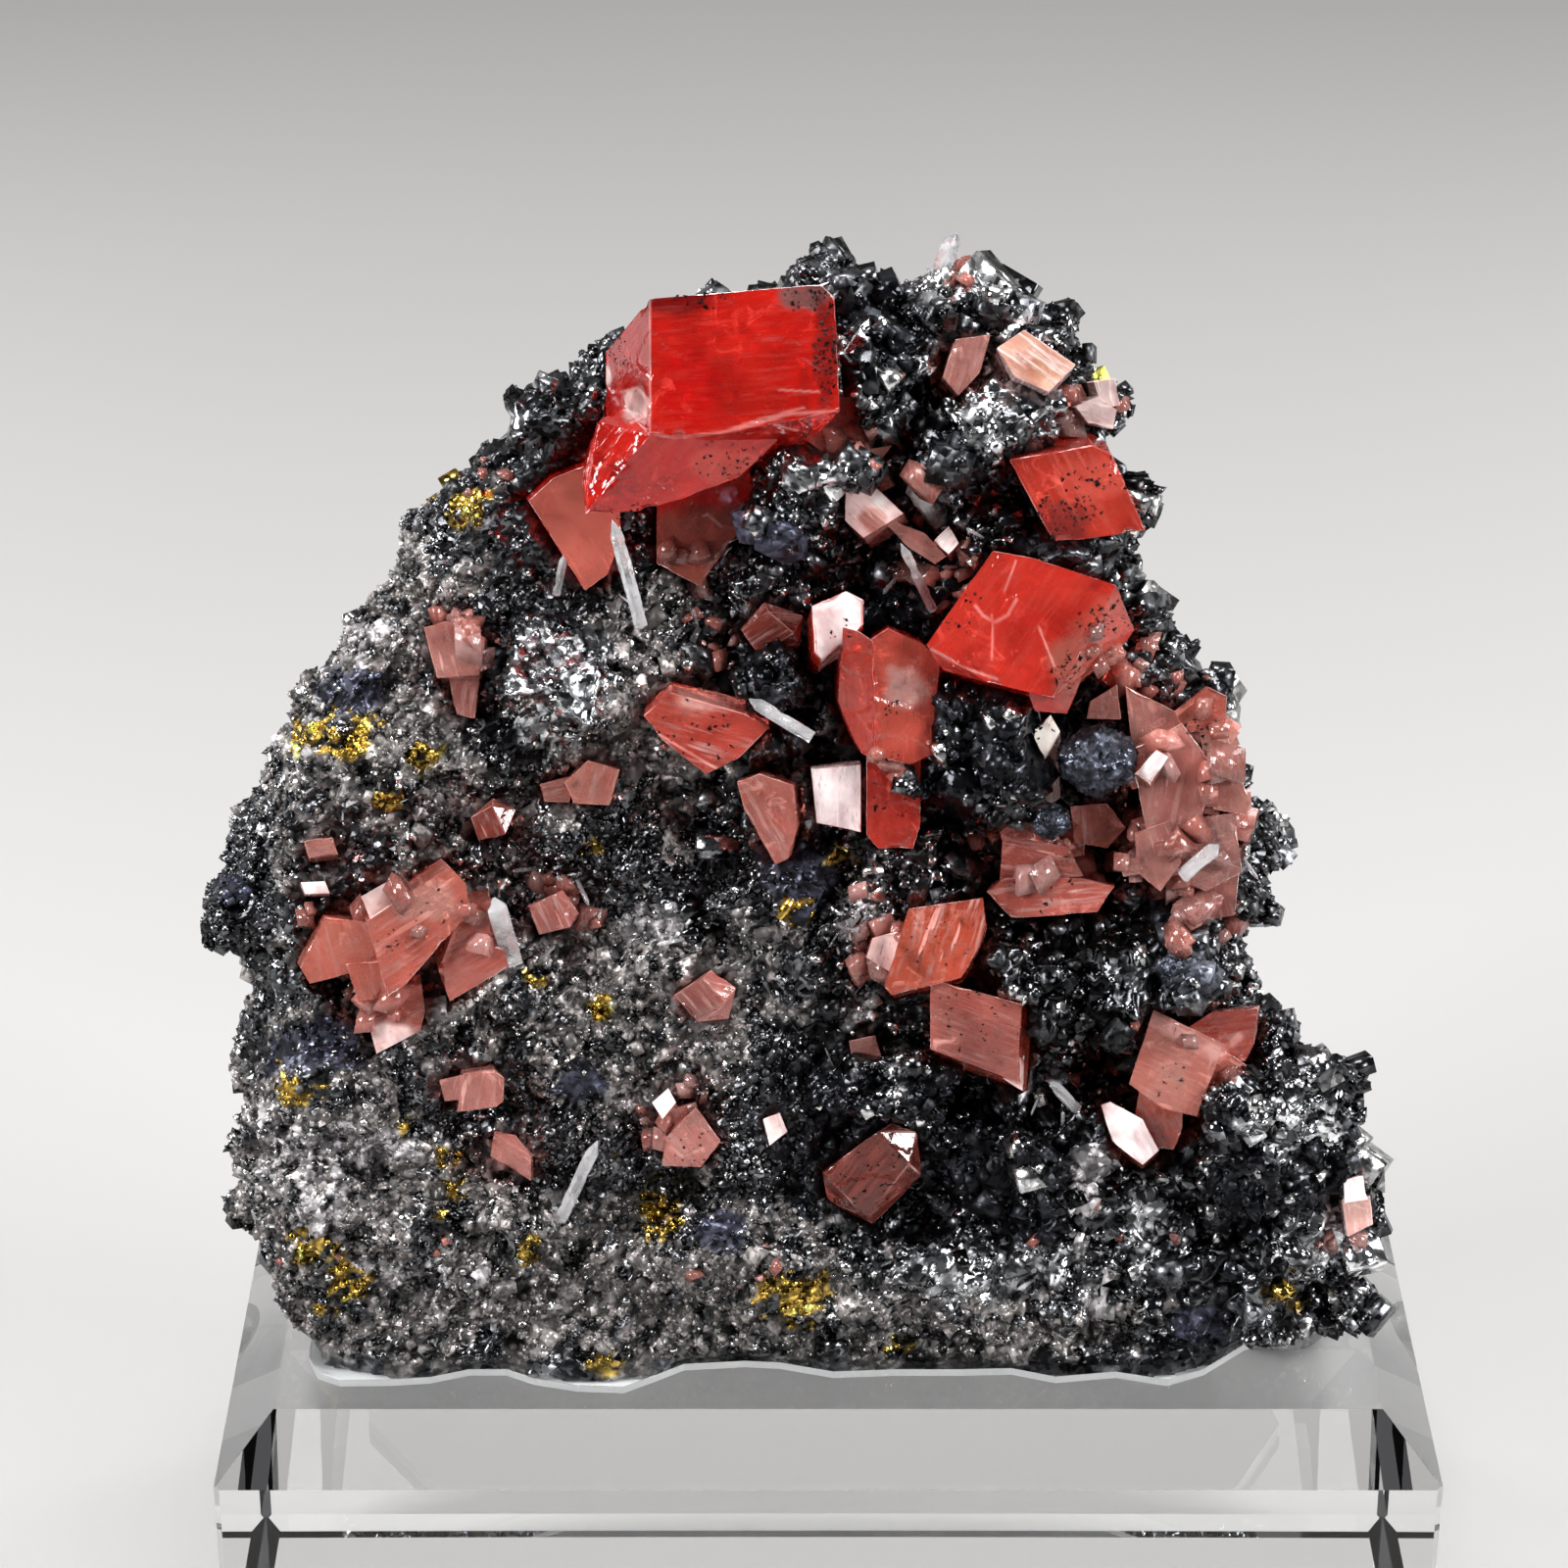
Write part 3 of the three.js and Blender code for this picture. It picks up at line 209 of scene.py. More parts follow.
def triangles(points, faces):
    """The triangles' three corners, and the cross product of two sides."""
    a, b, c = (points[faces[:, n]] for n in range(3))
    return a, b, c, np.cross(b - a, c - a)


def unit(vectors):
    return vectors / np.maximum(np.linalg.norm(vectors, axis=1), 1e-9)[:, None]


def add_object(name, data):
    made = bpy.data.objects.new(name, data)
    bpy.context.scene.collection.objects.link(made)
    return made


def place(name, mesh, stands_for=()):
    piece = add_object(name, mesh)
    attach(piece, "root")
    if stands_for:
        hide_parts(*stands_for)


def new_mesh(name, points, faces, stands_for=()):
    """The mesh of a new piece. No point leaves the solids' box."""
    inside = 0.02 * MM
    mesh = bpy.data.meshes.new(name)
    mesh.vertices.add(len(points))
    held = np.clip(points, np.array(cad_bounds[0]) + inside, np.array(cad_bounds[1]) - inside)
    mesh.vertices.foreach_set("co", held.ravel())
    mesh.loops.add(faces.size)
    mesh.loops.foreach_set("vertex_index", faces.ravel().astype(np.int32))
    mesh.polygons.add(len(faces))
    mesh.polygons.foreach_set("loop_start", np.arange(0, faces.size, 3, dtype=np.int32))
    mesh.update(calc_edges=True)
    mesh.validate()
    place(name, mesh, stands_for)
    return mesh


def paint(mesh, name, values, domain="POINT", kind="FLOAT_COLOR"):
    """Stores an attribute that a material reads."""
    attribute = mesh.attributes.new(name, kind, domain)
    if kind == "FLOAT_COLOR":
        values = np.column_stack([values, np.ones(len(values))])
    field = "color" if kind == "FLOAT_COLOR" else "vector"
    attribute.data.foreach_set(field, values.astype(np.float32).ravel())


# Materials
class Shader:
    """A short way to build a node material. An input is a constant or another node's output."""

    def __init__(self, name):
        self.material = bpy.data.materials.new(name)
        self.material.use_nodes = True
        self.tree = self.material.node_tree
        self.tree.nodes.clear()
        self.output = self.node("ShaderNodeOutputMaterial")

    def put(self, value, socket):
        if isinstance(value, bpy.types.NodeSocket):
            self.tree.links.new(value, socket)
        else:
            socket.default_value = value

    def node(self, kind, inputs=None, **settings):
        made = self.tree.nodes.new(kind)
        for key, value in settings.items():
            setattr(made, key, value)
        for key, value in (inputs or {}).items():
            self.put(value, made.inputs[key])
        return made

    def attribute(self, name, kind="Color"):
        return self.node("ShaderNodeAttribute", attribute_name=name).outputs[kind]

    def split(self, colour):
        """The outputs Red, Green and Blue."""
        return self.node("ShaderNodeSeparateColor", {"Color": colour}).outputs

    def place(self):
        return self.node("ShaderNodeTexCoord").outputs["Object"]

    def noise(self, scale, detail=3.0, roughness=0.55, distortion=0.0):
        made = self.node("ShaderNodeTexNoise", {"Vector": self.place(), "Scale": scale, "Detail": detail,
                                                "Roughness": roughness, "Distortion": distortion})
        return made.outputs["Fac"]

    def growth_lines(self, stretch, shift):
        """Noise drawn out along each side's longest edge, by the side's own coordinates."""
        scaled = self.vector("MULTIPLY", self.attribute("across", "Vector"), stretch)
        moved = self.vector("ADD", scaled, (float(shift), 0.0, float(shift)))
        made = self.node("ShaderNodeTexNoise", {"Vector": moved, "Scale": 1.0, "Detail": 2.0, "Roughness": 0.6})
        return made.outputs["Fac"]

    def remap(self, value, low, high, to_low=0.0, to_high=1.0):
        made = self.node("ShaderNodeMapRange", {"Value": value, "From Min": low, "From Max": high,
                                                "To Min": to_low, "To Max": to_high})
        return made.outputs["Result"]

    def mix(self, share, first, second, blend="MIX"):
        made = self.node("ShaderNodeMix", {0: share, 6: first, 7: second}, data_type="RGBA", blend_type=blend)
        return made.outputs[2]

    def math(self, operation, first, second=0.0):
        return self.node("ShaderNodeMath", {0: first, 1: second}, operation=operation).outputs[0]

    def times(self, first, second):
        return self.math("MULTIPLY", first, second)

    def vector(self, operation, first, second=(0.0, 0.0, 0.0)):
        return self.node("ShaderNodeVectorMath", {0: first, 1: second}, operation=operation).outputs[0]

    def scaled(self, vector, factor):
        made = self.node("ShaderNodeVectorMath", {0: vector, "Scale": factor}, operation="SCALE")
        return made.outputs[0]

    def bump(self, height, strength, distance):
        made = self.node("ShaderNodeBump", {"Strength": strength, "Distance": distance, "Height": height})
        return made.outputs["Normal"]

    def surface(self, inputs):
        """The finished material, with these inputs of its Principled BSDF."""
        self.put(self.node("ShaderNodeBsdfPrincipled", inputs).outputs["BSDF"], self.output.inputs["Surface"])
        return self.material


def rock_material():
    """Metallic sulphide: the mesh carries its tint and its finish (metal, roughness, and how far the
    small broken facets tilt)."""
    shader = Shader("sulphide_rock")
    finish = shader.split(shader.attribute("finish"))
    normal = shader.node("ShaderNodeNewGeometry").outputs["Normal"]
    tones = []
    for scale, turn in ((560, 0.5), (1500, 0.75)):
        cells = shader.node("ShaderNodeTexVoronoi", {"Vector": shader.place(), "Scale": scale})
        cell = cells.outputs["Color"]
        tilt = shader.vector("SUBTRACT", cell, (0.5, 0.5, 0.5))
        normal = shader.vector("ADD", normal, shader.scaled(tilt, shader.times(finish["Blue"], turn)))
        tones.append(shader.split(cell))
    grain = shader.noise(900, 2)
    tone = shader.remap(tones[1]["Red"], 0, 1, 0.3, 1.7)
    tone = shader.times(tone, shader.remap(tones[0]["Red"], 0, 1, 0.6, 1.5))
    tone = shader.times(tone, shader.remap(grain, 0.35, 0.7, 1.15, 0.6))
    return shader.surface({
        "Base Color": shader.scaled(shader.attribute("tint"), tone), "Metallic": finish["Red"],
        "Roughness": shader.times(finish["Green"], shader.remap(tones[1]["Green"], 0, 1, 0.55, 1.6)),
        "Normal": shader.vector("NORMALIZE", normal)})


def crystal_material(name, transmission, roughness, absorb_colour, density, veil):
    """Clear to cloudy crystal: the mesh carries its tint, its look (how clear, veiled and lined it is)
    and the directions of its growth lines."""
    shader = Shader(name)
    look = shader.split(shader.attribute("look"))
    is_clear, is_veiled, is_lined = look["Red"], look["Green"], look["Blue"]
    cloud = shader.noise(150, 3, 0.62, 0.8)
    haze = shader.noise(420, 3, 0.65, 1.2)
    streak = shader.growth_lines((2.2, 0.22, 1.0), 3)
    crack = shader.growth_lines((0.9, 0.12, 1.0), 5)
    dark = shader.growth_lines((3.0, 0.7, 1.0), 9)
    zones = shader.remap(cloud, 0.38, 0.62)
    colour = shader.mix(zones, (1.15, 1.15, 1.15, 1), (0.62, 0.48, 0.48, 1))
    colour = shader.mix(1.0, shader.attribute("tint"), colour, "MULTIPLY")
    colour = shader.mix(shader.times(shader.remap(streak, 0.5, 0.75), is_lined), colour, veil)
    veils = shader.math("ADD", shader.times(shader.remap(haze, 0.56, 0.76, 0.0, 0.5), is_veiled),
                        shader.times(shader.remap(crack, 0.66, 0.7, 0.0, 0.5), is_lined))
    colour = shader.mix(veils, colour, veil)
    dark = shader.times(shader.remap(dark, 0.6, 0.74, 0.0, 0.6), is_lined)
    colour = shader.mix(dark, colour, (0.1, 0.02, 0.015, 1))
    clear = shader.remap(cloud, 0.3, 0.7, transmission + 0.15, transmission - 0.2)
    clear = shader.times(shader.times(clear, is_clear), shader.remap(veils, 0, 1, 1, 0))
    height = shader.math("ADD", shader.times(shader.noise(260, 1, 0.5), 0.7), shader.times(streak, 0.5))
    height = shader.math("ADD", height, shader.times(haze, 0.3))
    volume = shader.node("ShaderNodeVolumeAbsorption", {"Color": absorb_colour, "Density": density})
    shader.put(volume.outputs["Volume"], shader.output.inputs["Volume"])
    return shader.surface({
        "Base Color": colour, "IOR": 1.62, "Specular IOR Level": 0.18, "Transmission Weight": clear,
        "Roughness": shader.remap(streak, 0.35, 0.7, roughness * 0.5, roughness * 2.4),
        "Normal": shader.bump(height, 0.25, 0.0004)})


def clouded_material(name, colour, ior, clouds, transmission, roughness):
    """Clear, with clouds: noise settings, and how it maps to transmission and roughness."""
    shader = Shader(name)
    cloud = shader.noise(*clouds)
    return shader.surface({"Base Color": colour, "IOR": ior,
                           "Transmission Weight": shader.remap(cloud, *transmission),
                           "Roughness": shader.remap(cloud, *roughness)})


def acrylic_material():
    """Clear cast acrylic. The pocket's floor and wall are frosted by the cutter."""
    shader = Shader("clear_acrylic")
    places = shader.node("ShaderNodeSeparateXYZ", {0: shader.place()}).outputs
    pocket_depth, pocket_margin, skin = 1.9 * MM, 7.5 * MM, 0.04 * MM
    top = float(base_high[2])
    pocket = shader.times(shader.math("LESS_THAN", places["Z"], top - skin),
                          shader.math("GREATER_THAN", places["Z"], top - pocket_depth))
    for axis, letter in enumerate("XY"):
        half = float((base_high - base_low)[axis] / 2 - pocket_margin)
        reach = shader.math("ABSOLUTE", shader.math("SUBTRACT", places[letter], float(ORIGIN[axis])))
        pocket = shader.times(pocket, shader.math("LESS_THAN", reach, half))
    smear = shader.noise(60, 4, 0.6)
    scratch = shader.remap(shader.noise(35, 6, 0.7, 1.5), 0.5, 0.75, 0.0, 0.03)
    return shader.surface({
        "Base Color": shader.mix(pocket, (0.985, 0.99, 0.99, 1), (0.93, 0.95, 0.96, 1)), "IOR": 1.49,
        "Roughness": shader.math("ADD", scratch, shader.times(pocket, 0.55)),
        "Transmission Weight": shader.remap(pocket, 0, 1, 1.0, 0.45),
        "Normal": shader.bump(smear, 0.02, 0.0002)})


# Colour patches of the rock's front by kind: middle u, v and half-sizes in mm
GOLD, BLUE, WHITE, GREY = "gold", "blue", "white", "grey"
BRIGHT, DARK, KNOB = "bright", "dark", "knob"
PATCHES = {
    GREY: [(-44, -40, 16, 20), (-20, -52, 26, 9), (-42, 2, 14, 12), (-38, 22, 8, 8), (-16, -22, 16, 10),
        (20, -55, 16, 5), (-16, 8, 10, 12)],
    DARK: [(20.4, 5, 7, 7.5), (5, 12, 8, 6), (14, 18, 9, 5), (-1.8, 10.5, 4.5, 4.5), (-28, 9, 4, 7),
        (27, 30, 8, 8), (9, 46, 6, 5), (8, -36, 10, 7), (40, -17, 4, 3.5), (22, -40, 10, 8),
        (50, -38, 9, 8)],
    BRIGHT: [(-23.5, 11, 5.2, 6.2), (2.2, 32.2, 4.2, 3.6), (22, 41, 6, 5), (16.5, 51, 4, 3),
        (52, -35, 5, 3.2), (37, -45, 3, 4), (5, 44, 3, 3), (55, -47, 4, 3), (26, 38, 5, 3),
        (20, -50, 8, 3), (-30, 37, 3, 2)],
    WHITE: [(-43.5, 15.8, 1.6, 3.4), (-42, -1, 4, 1.8), (-48, -40, 5, 6), (7.2, -11, 2.2, 5),
        (31, -41.8, 1.4, 4.8), (-44, -37, 7, 2), (-13, -14, 4, 2), (7.5, -24, 1.6, 2.4),
        (-17, -33, 3, 1.6), (-50, 5, 2.2, 4), (31.6, -49, 0.9, 4), (-39, -50, 5, 1.6),
        (25.6, -30.6, 1.8, 1.8), (-17.4, 22.6, 2, 2)],
    BLUE: [(-44.4, 8.9, 3.4, 2.8), (-47.1, -27.3, 5, 2.8), (-20.9, -30, 2, 2.4), (-1.7, 25.1, 2.2, 2),
        (1.5, -9.2, 3.2, 4), (-6.5, -46, 2.5, 2), (42, -55, 3, 2), (-56, -10.5, 2, 1.5)],
    KNOB: [(32, 2.4, 3.9, 3.4), (27.2, -3.7, 2.2, 2.2), (40.6, -19, 2.6, 2)],
    GOLD: [(-33, 26.8, 2.8, 2.7), (-45.1, 4.7, 3.9, 2.3), (-36.5, 2.5, 1.5, 1.2), (-40.5, -1.2, 1.5, 0.8),
        (-47.6, -31, 2.5, 1.9), (-38, -35, 1.1, 0.9), (-34.5, -38, 1.2, 1.2), (-33.5, -41.5, 1.2, 1),
        (-35, -44, 1.4, 1.1), (-48, -47.5, 2, 1.2), (-45.2, -51.6, 2.6, 2.1), (-26.5, -47.5, 1.5, 1.3),
        (-12.4, -44.6, 1.7, 2.4), (0.8, -52, 2.8, 2.3), (-20, -59, 2.5, 1), (51.2, -52.4, 1.6, 1.1),
        (12.3, -57.3, 1.5, 0.8), (-19.6, -6.9, 1.3, 1.6), (-25.5, -19.5, 1.7, 1.2),
        (-18.6, -22.5, 0.8, 1), (5.6, -6.6, 1.3, 1), (1.5, -13.2, 1.3, 0.8), (32.8, 41, 0.9, 1.4)],
}
# Linear colour, metallic, roughness, share of grains that grow there, and how ragged the patch's edge is
LOOKS = {
    GOLD: ((0.52, 0.345, 0.075), 1.0, 0.28, 1.0, 1.9),
    BLUE: ((0.05, 0.053, 0.078), 0.7, 0.36, 0.4, 1.2),
    WHITE: ((0.36, 0.34, 0.35), 0.1, 0.4, 0.9, 1.7),
    GREY: ((0.20, 0.184, 0.178), 0.4, 0.36, 1.0, 1.9),
    DARK: ((0.028, 0.029, 0.034), 0.9, 0.3, 0.35, 1.3),
    BRIGHT: ((0.5, 0.51, 0.53), 1.0, 0.2, 0.2, 1.2),
    KNOB: ((0.075, 0.08, 0.1), 0.7, 0.42, 0.25, 0.4),
}
SULPHIDE = ((0.10, 0.102, 0.109), 1.0, 0.24)
# Patches broken up by gaps, and the level of the noise that leaves them
BROKEN_UP = {GREY: -0.35, WHITE: -0.1, GOLD: -0.35}


def rock_look(points):
    """Tint, metal, roughness and share of grains of the rock at design-frame points."""
    u, v, out = front_view(points)
    count = len(points)
    tone = 0.9 + 0.6 * noise(points, 6, 301) + 0.45 * noise(points, 1.7, 302)
    tint = np.array(SULPHIDE[0]) * np.clip(tone, 0.22, 2.2)[:, None]
    metal = np.full(count, SULPHIDE[1])
    rough = np.full(count, SULPHIDE[2])
    grainy = np.clip(0.55 + 0.8 * noise(points, 8, 305), 0.1, 1)
    ragged = 0.5 * layered(points, 3.2, 311, 3)
    gaps = noise(points, 1.1, 317)
    variation = np.clip(1 + 0.75 * noise(points, 0.9, 321), 0.25, 1.8)[:, None]
    front = out > BACK_OUT
    for kind, patches in PATCHES.items():
        colour, metallic, roughness, share, fray = LOOKS[kind]
        for patch in patches:
            inside = front & (from_middle(u, v, patch) + ragged * fray < 1.0)
            if kind in BROKEN_UP:
                inside &= gaps > BROKEN_UP[kind]
            tint[inside] = np.array(colour) * variation[inside]
            metal[inside], rough[inside], grainy[inside] = metallic, roughness, share
    veins = ~front & (layered(points, 14, 331, 3) > 0.42)
    tint[veins], metal[veins], rough[veins] = LOOKS[GREY][:3]
    brassy = ~front & (noise(points, 3.2, 341) > 0.72) & (noise(points, 9, 342) > 0.25)
    tint[brassy] = np.array(LOOKS[GOLD][0]) * 0.8
    return tint, metal, rough, grainy


# Linear tints of the crystals
RED_TINT = (0.86, 0.022, 0.012)
SALMON_TINT = (0.80, 0.22, 0.16)
PINK_TINT = (0.88, 0.37, 0.31)
PALE_TINT = (0.88, 0.68, 0.65)
BROWN_TINT = (0.42, 0.09, 0.065)
# White: the real colour of the white crystals, and a painted highlight on crystal faces that mirror a lamp
WHITE_AND_HIGHLIGHT_TINT = (0.96, 0.90, 0.89)
NODE_TINTS = {
    "middle_crystals": (0.8, 0.05, 0.03), "upper_right_crystal": (0.66, 0.06, 0.035),
    "brown_red_rhomb": (0.3, 0.07, 0.05), "striated_and_square_crystals": (0.86, 0.17, 0.1),
    "lower_right_cluster": (0.86, 0.24, 0.17), "left_cluster": (0.87, 0.25, 0.18),
    "tilted_red_crystal": (0.82, 0.13, 0.09), "tapering_crystal": (0.86, 0.26, 0.19),
    # The dark crystals' brown tint and the shaded pink crystals' darker tint are partly their own colour and
    # partly painted shade
    "dark_crystal_middle": BROWN_TINT, "dark_crystal_left": BROWN_TINT, "translucent_crystal": PINK_TINT,
    "dark_pink_group": (0.76, 0.2, 0.15), "shaded_pink_crystals": (0.78, 0.29, 0.23),
}
SLOT_TINTS = {"red_rhodochrosite": RED_TINT, "pink_rhodochrosite": PINK_TINT, "pale_rhodochrosite": PALE_TINT,
              "quartz": (0.4, 0.4, 0.4)}
CRYSTALS = {node: slot for node, slot in SLOTS.items() if slot in SLOT_TINTS}


def node_tint(node):
    return np.array(NODE_TINTS.get(node, SLOT_TINTS[CRYSTALS[node]]))


# All crystals as one tree to search, and the tint of each of its faces
crystal_solids = {node: mesh_arrays(NODES[node].data) for node in CRYSTALS}
tree = BVHTree.FromPolygons(*(array.tolist() for array in joined(crystal_solids.values())))
tree_tints = np.concatenate([np.tile(node_tint(node), (len(faces), 1))
                             for node, (_, faces) in crystal_solids.items()])


def clearance(points, reach):
    """Distance in mm to the nearest crystal, or infinite beyond the reach."""
    found = [tree.find_nearest(Vector(point), reach * MM)[3] for point in to_world(points)]
    return np.array([np.inf if distance is None else distance / MM for distance in found])


def closed_up(points, chosen):
    """Moves the chosen points to a hair from the nearest crystal, so that the rock clasps it."""
    hair = 0.07 * MM
    moved = points.copy()
    for index in np.flatnonzero(chosen):
        start = Vector(to_world(points[index]))
        touch = tree.find_nearest(start)[0]
        moved[index] = to_design(np.array(touch + (start - touch).normalized() * hair))
    return moved


def painted_glow_behind_crystals(points, faces, chosen):
    """Which of the chosen points lie well behind a crystal, seen from the front, and the tint painted on them:
    the crystal's tint at 0.7, a painted glow of its red light on the rock behind it.
    """
    thickest = 0.02
    found = np.zeros(len(points), dtype=bool)
    tint = np.zeros((len(points), 3))
    for index in np.flatnonzero(chosen):
        start = Vector(to_world(points[index]))
        toward = (Vector(to_world(EYE)) - start).normalized()
        face = tree.ray_cast(start + toward * 0.1 * MM, toward, thickest)[2]
        if face is not None:
            found[index] = True
            tint[index] = tree_tints[face] * 0.7
    found[np.unique(faces[~found[faces].all(axis=1)])] = False
    return found, tint


def blockiness(points):
    """Low where the rock is finely granular, 1 where it breaks into blocks: its right and top."""
    u, v, _ = front_view(points)
    return np.clip(0.5 + (u + 0.45 * v) / 45 + 0.3 * noise(points, 9, 361), 0.06, 1.0)


def even_rock(voxel):
    """The solid's surface on an even mesh: design-frame points, faces and normals."""
    rough_copy = add_object("rock_copy", NODES["matrix"].data.copy())
    remesh = rough_copy.modifiers.new("even", "REMESH")
    remesh.mode = "VOXEL"
    remesh.voxel_size = voxel
    evaluated = rough_copy.evaluated_get(bpy.context.evaluated_depsgraph_get())
    mesh = bpy.data.meshes.new_from_object(evaluated)
    bpy.data.objects.remove(rough_copy)
    points, faces = mesh_arrays(mesh)
    normals = per_vertex(mesh, "normal")
    bpy.data.meshes.remove(mesh)
    return to_design(points), faces, normals


def only(points, faces, normals, keep):
    """The kept faces, with the points that they use."""
    used, faces = np.unique(faces[keep], return_inverse=True)
    return points[used], faces.reshape(-1, 3), normals[used]


# A hollow in the rock beside the crystal that stands in it, and its depth in mm
HOLLOW = (27.4, 3.4, 2.7, 5.2)
HOLLOW_DEPTH = 3.2


def inside_share(points, patches, edge, fade, least_out):
    """1 inside the patches of the rock's front and 0 outside, with a soft edge."""
    u, v, out = front_view(points)
    shares = [np.clip((edge - from_middle(u, v, patch)) / fade, 0, 1) for patch in patches]
    return np.max(shares, axis=0) * (out > least_out)


def hollow(points):
    """How far the rock's front is sunk, in mm."""
    return HOLLOW_DEPTH * inside_share(points, [HOLLOW], 1.2, 0.4, -6)


def calm(points):
    """1 on the few large smooth cleavage faces of the front, elsewhere 0."""
    return inside_share(points, PATCHES[BRIGHT] + PATCHES[BLUE], 1.15, 0.25, BACK_OUT)


def raised(points, normals, still):
    """Points with broken facets and steps, their tone, and how smooth they are, both from 0 to 1."""
    blocky = blockiness(points)
    smooth = calm(points)
    large, large_tone = facets(points, 6.4, 1.0, 401)
    middle, middle_tone = facets(points, 2.7, 1.0, 421)
    small, small_tone = facets(points, 1.05, 1.0, 431)
    relief = large * (0.5 + 0.9 * blocky) + middle * (0.4 + 0.4 * blocky) + small * (0.24 - 0.12 * blocky)
    room = np.where(still, 0.0, np.clip(clearance(points, 2.2) / 2.0, 0, 1))
    free = np.clip((points[:, 2] - 0.6) / 1.5, 0, 1) * room
    lifted = points + normals * (relief * (1 - 0.45 * smooth) * free)[:, None]
    lifted -= PLANE_NORMAL * np.where(still, 0.0, hollow(points))[:, None]
    lifted[:, 2] = np.where(points[:, 2] > 0.2, np.maximum(lifted[:, 2], 0.12), points[:, 2])
    fine = 1.1 - blocky
    tone = (large_tone * blocky + middle_tone * 1.2 + small_tone * fine) / (1.2 + blocky + fine)
    return lifted, tone, np.maximum(np.where(middle_tone > 0.5, blocky, 0.4 * blocky), smooth)


ROCK = rock_material()


def metal_piece(name, points, faces, tint, finish, stands_for=()):
    """A piece of sulphide from design-frame points, with a tint and a finish for each."""
    mesh = new_mesh(name, to_world(points), faces, stands_for)
    paint(mesh, "tint", np.clip(tint, 0, 0.95))
    paint(mesh, "finish", finish)
    mesh.materials.append(ROCK)


def build_rock(name, voxel, side):
    """The front, side 1, or the back, side -1. They meet behind the front plane and overlap a little."""
    split_out, overlap, socket_reach = -11.0, 0.7, 0.7
    points, faces, normals = even_rock(voxel)
    middles = front_view(points[faces].mean(axis=1))[2]
    points, faces, normals = only(points, faces, normals, (middles - split_out) * side > -overlap)
    in_socket = np.isfinite(clearance(points, socket_reach))
    points, tone, smooth = raised(points, normals, in_socket)
    points = closed_up(points, in_socket)
    tint, metal, rough, _ = rock_look(points)
    u, v, _ = front_view(points)
    knob = np.any([from_middle(u, v, patch) < 1 for patch in PATCHES[KNOB]], axis=0)
    tint *= np.where(knob, 1.0, 0.25 + 3.0 * np.clip(tone - 0.2, 0, 1) ** 1.6)[:, None]
    rough = np.clip(rough * (1.5 - tone), 0.1, 0.8)
    # Painted light: the rock just behind a crystal takes the crystal's tint at 0.7 and turns non-metal, a
    # painted red glow of light through the crystal
    lined, painted_glow_tint = painted_glow_behind_crystals(points, faces, in_socket)
    tint[lined] = painted_glow_tint[lined]
    metal[lined], rough[lined] = 0, 0.5
    micro = np.where(lined, 0.0, np.where(metal > 0.3, 1.0 - 0.78 * smooth, 0.5))
    metal_piece(name, points, faces, tint, np.stack([metal, rough, micro], axis=1), ["matrix"])
    return points, faces, in_socket


FRONT_VOXEL = 0.57 * MM
BACK_VOXEL = 0.9 * MM
front_rock = build_rock("matrix_front", FRONT_VOXEL, 1)
back_rock = build_rock("matrix_back", BACK_VOXEL, -1)

# Grains: small flat-faced crystals of every size, grown into the rock
CUBE = (np.array(list(itertools.product((-0.5, 0.5), repeat=3))),
        np.array([[0, 1, 3], [0, 3, 2], [4, 6, 7], [4, 7, 5], [0, 4, 5], [0, 5, 1],
                  [2, 3, 7], [2, 7, 6], [0, 2, 6], [0, 6, 4], [1, 5, 7], [1, 7, 3]]))
OCTAHEDRON = (np.array([[0.7, 0, 0], [-0.7, 0, 0], [0, 0.7, 0], [0, -0.7, 0], [0, 0, 0.7], [0, 0, -0.7]]),
              np.array([[0, 2, 4], [2, 1, 4], [1, 3, 4], [3, 0, 4], [2, 0, 5], [1, 2, 5], [3, 1, 5],
                        [0, 3, 5]]))
TETRAHEDRON = (np.array([[0.6, 0.6, 0.6], [0.6, -0.6, -0.6], [-0.6, 0.6, -0.6], [-0.6, -0.6, 0.6]]),
               np.array([[0, 2, 1], [0, 1, 3], [0, 3, 2], [1, 2, 3]]))
SHEAR = np.array([[1, 0.22, 0.22], [0, 1, 0.22], [0, 0, 1]])
RHOMB = (CUBE[0] @ SHEAR, CUBE[1])


def hexagonal_needle():
    """A six-sided prism with a pointed end, one long along z."""
    ring = [(math.cos(math.radians(60 * n)) / 2, math.sin(math.radians(60 * n)) / 2) for n in range(6)]
    corners = [(x, y, z) for z in (-0.5, 0.38) for x, y in ring] + [(0, 0, 0.5), (0, 0, -0.5)]
    sides = []
    for n in range(6):
        after = (n + 1) % 6
        sides += [(n, after, 6 + after), (n, 6 + after, 6 + n), (6 + n, 6 + after, 12), (after, n, 13)]
    return np.array(corners), np.array(sides)


def turned(rng, count):
    """`count` random rotations."""
    return np.array([Quaternion(four).normalized().to_matrix() for four in rng.normal(size=(count, 4))])


def many(shapes, rng, spots, scales, rotations):
    """Copies of the shapes at the spots: points, faces, and the copy that owns each point."""
    kinds = rng.integers(0, len(shapes), len(spots))
    parts, owner = [], []
    for kind, (corners, sides) in enumerate(shapes):
        mine = np.flatnonzero(kinds == kind)
        placed = np.einsum("nij,nkj->nki", rotations[mine], corners[None] * scales[mine][:, None, :])
        placed += spots[mine][:, None, :]
        starts = (np.arange(len(mine)) * len(corners))[:, None, None]
        parts.append((placed.reshape(-1, 3), (sides[None] + starts).reshape(-1, 3)))
        owner.append(np.repeat(mine, len(corners)))
    return *joined(parts), np.concatenate(owner)


def scattered(shapes, rng, spots, sizes, least, most):
    """Copies of the shapes, each turned and stretched at random."""
    scales = rng.uniform(least, most, size=(len(spots), 3)) * sizes[:, None]
    return many(shapes, rng, spots, scales, turned(rng, len(spots)))


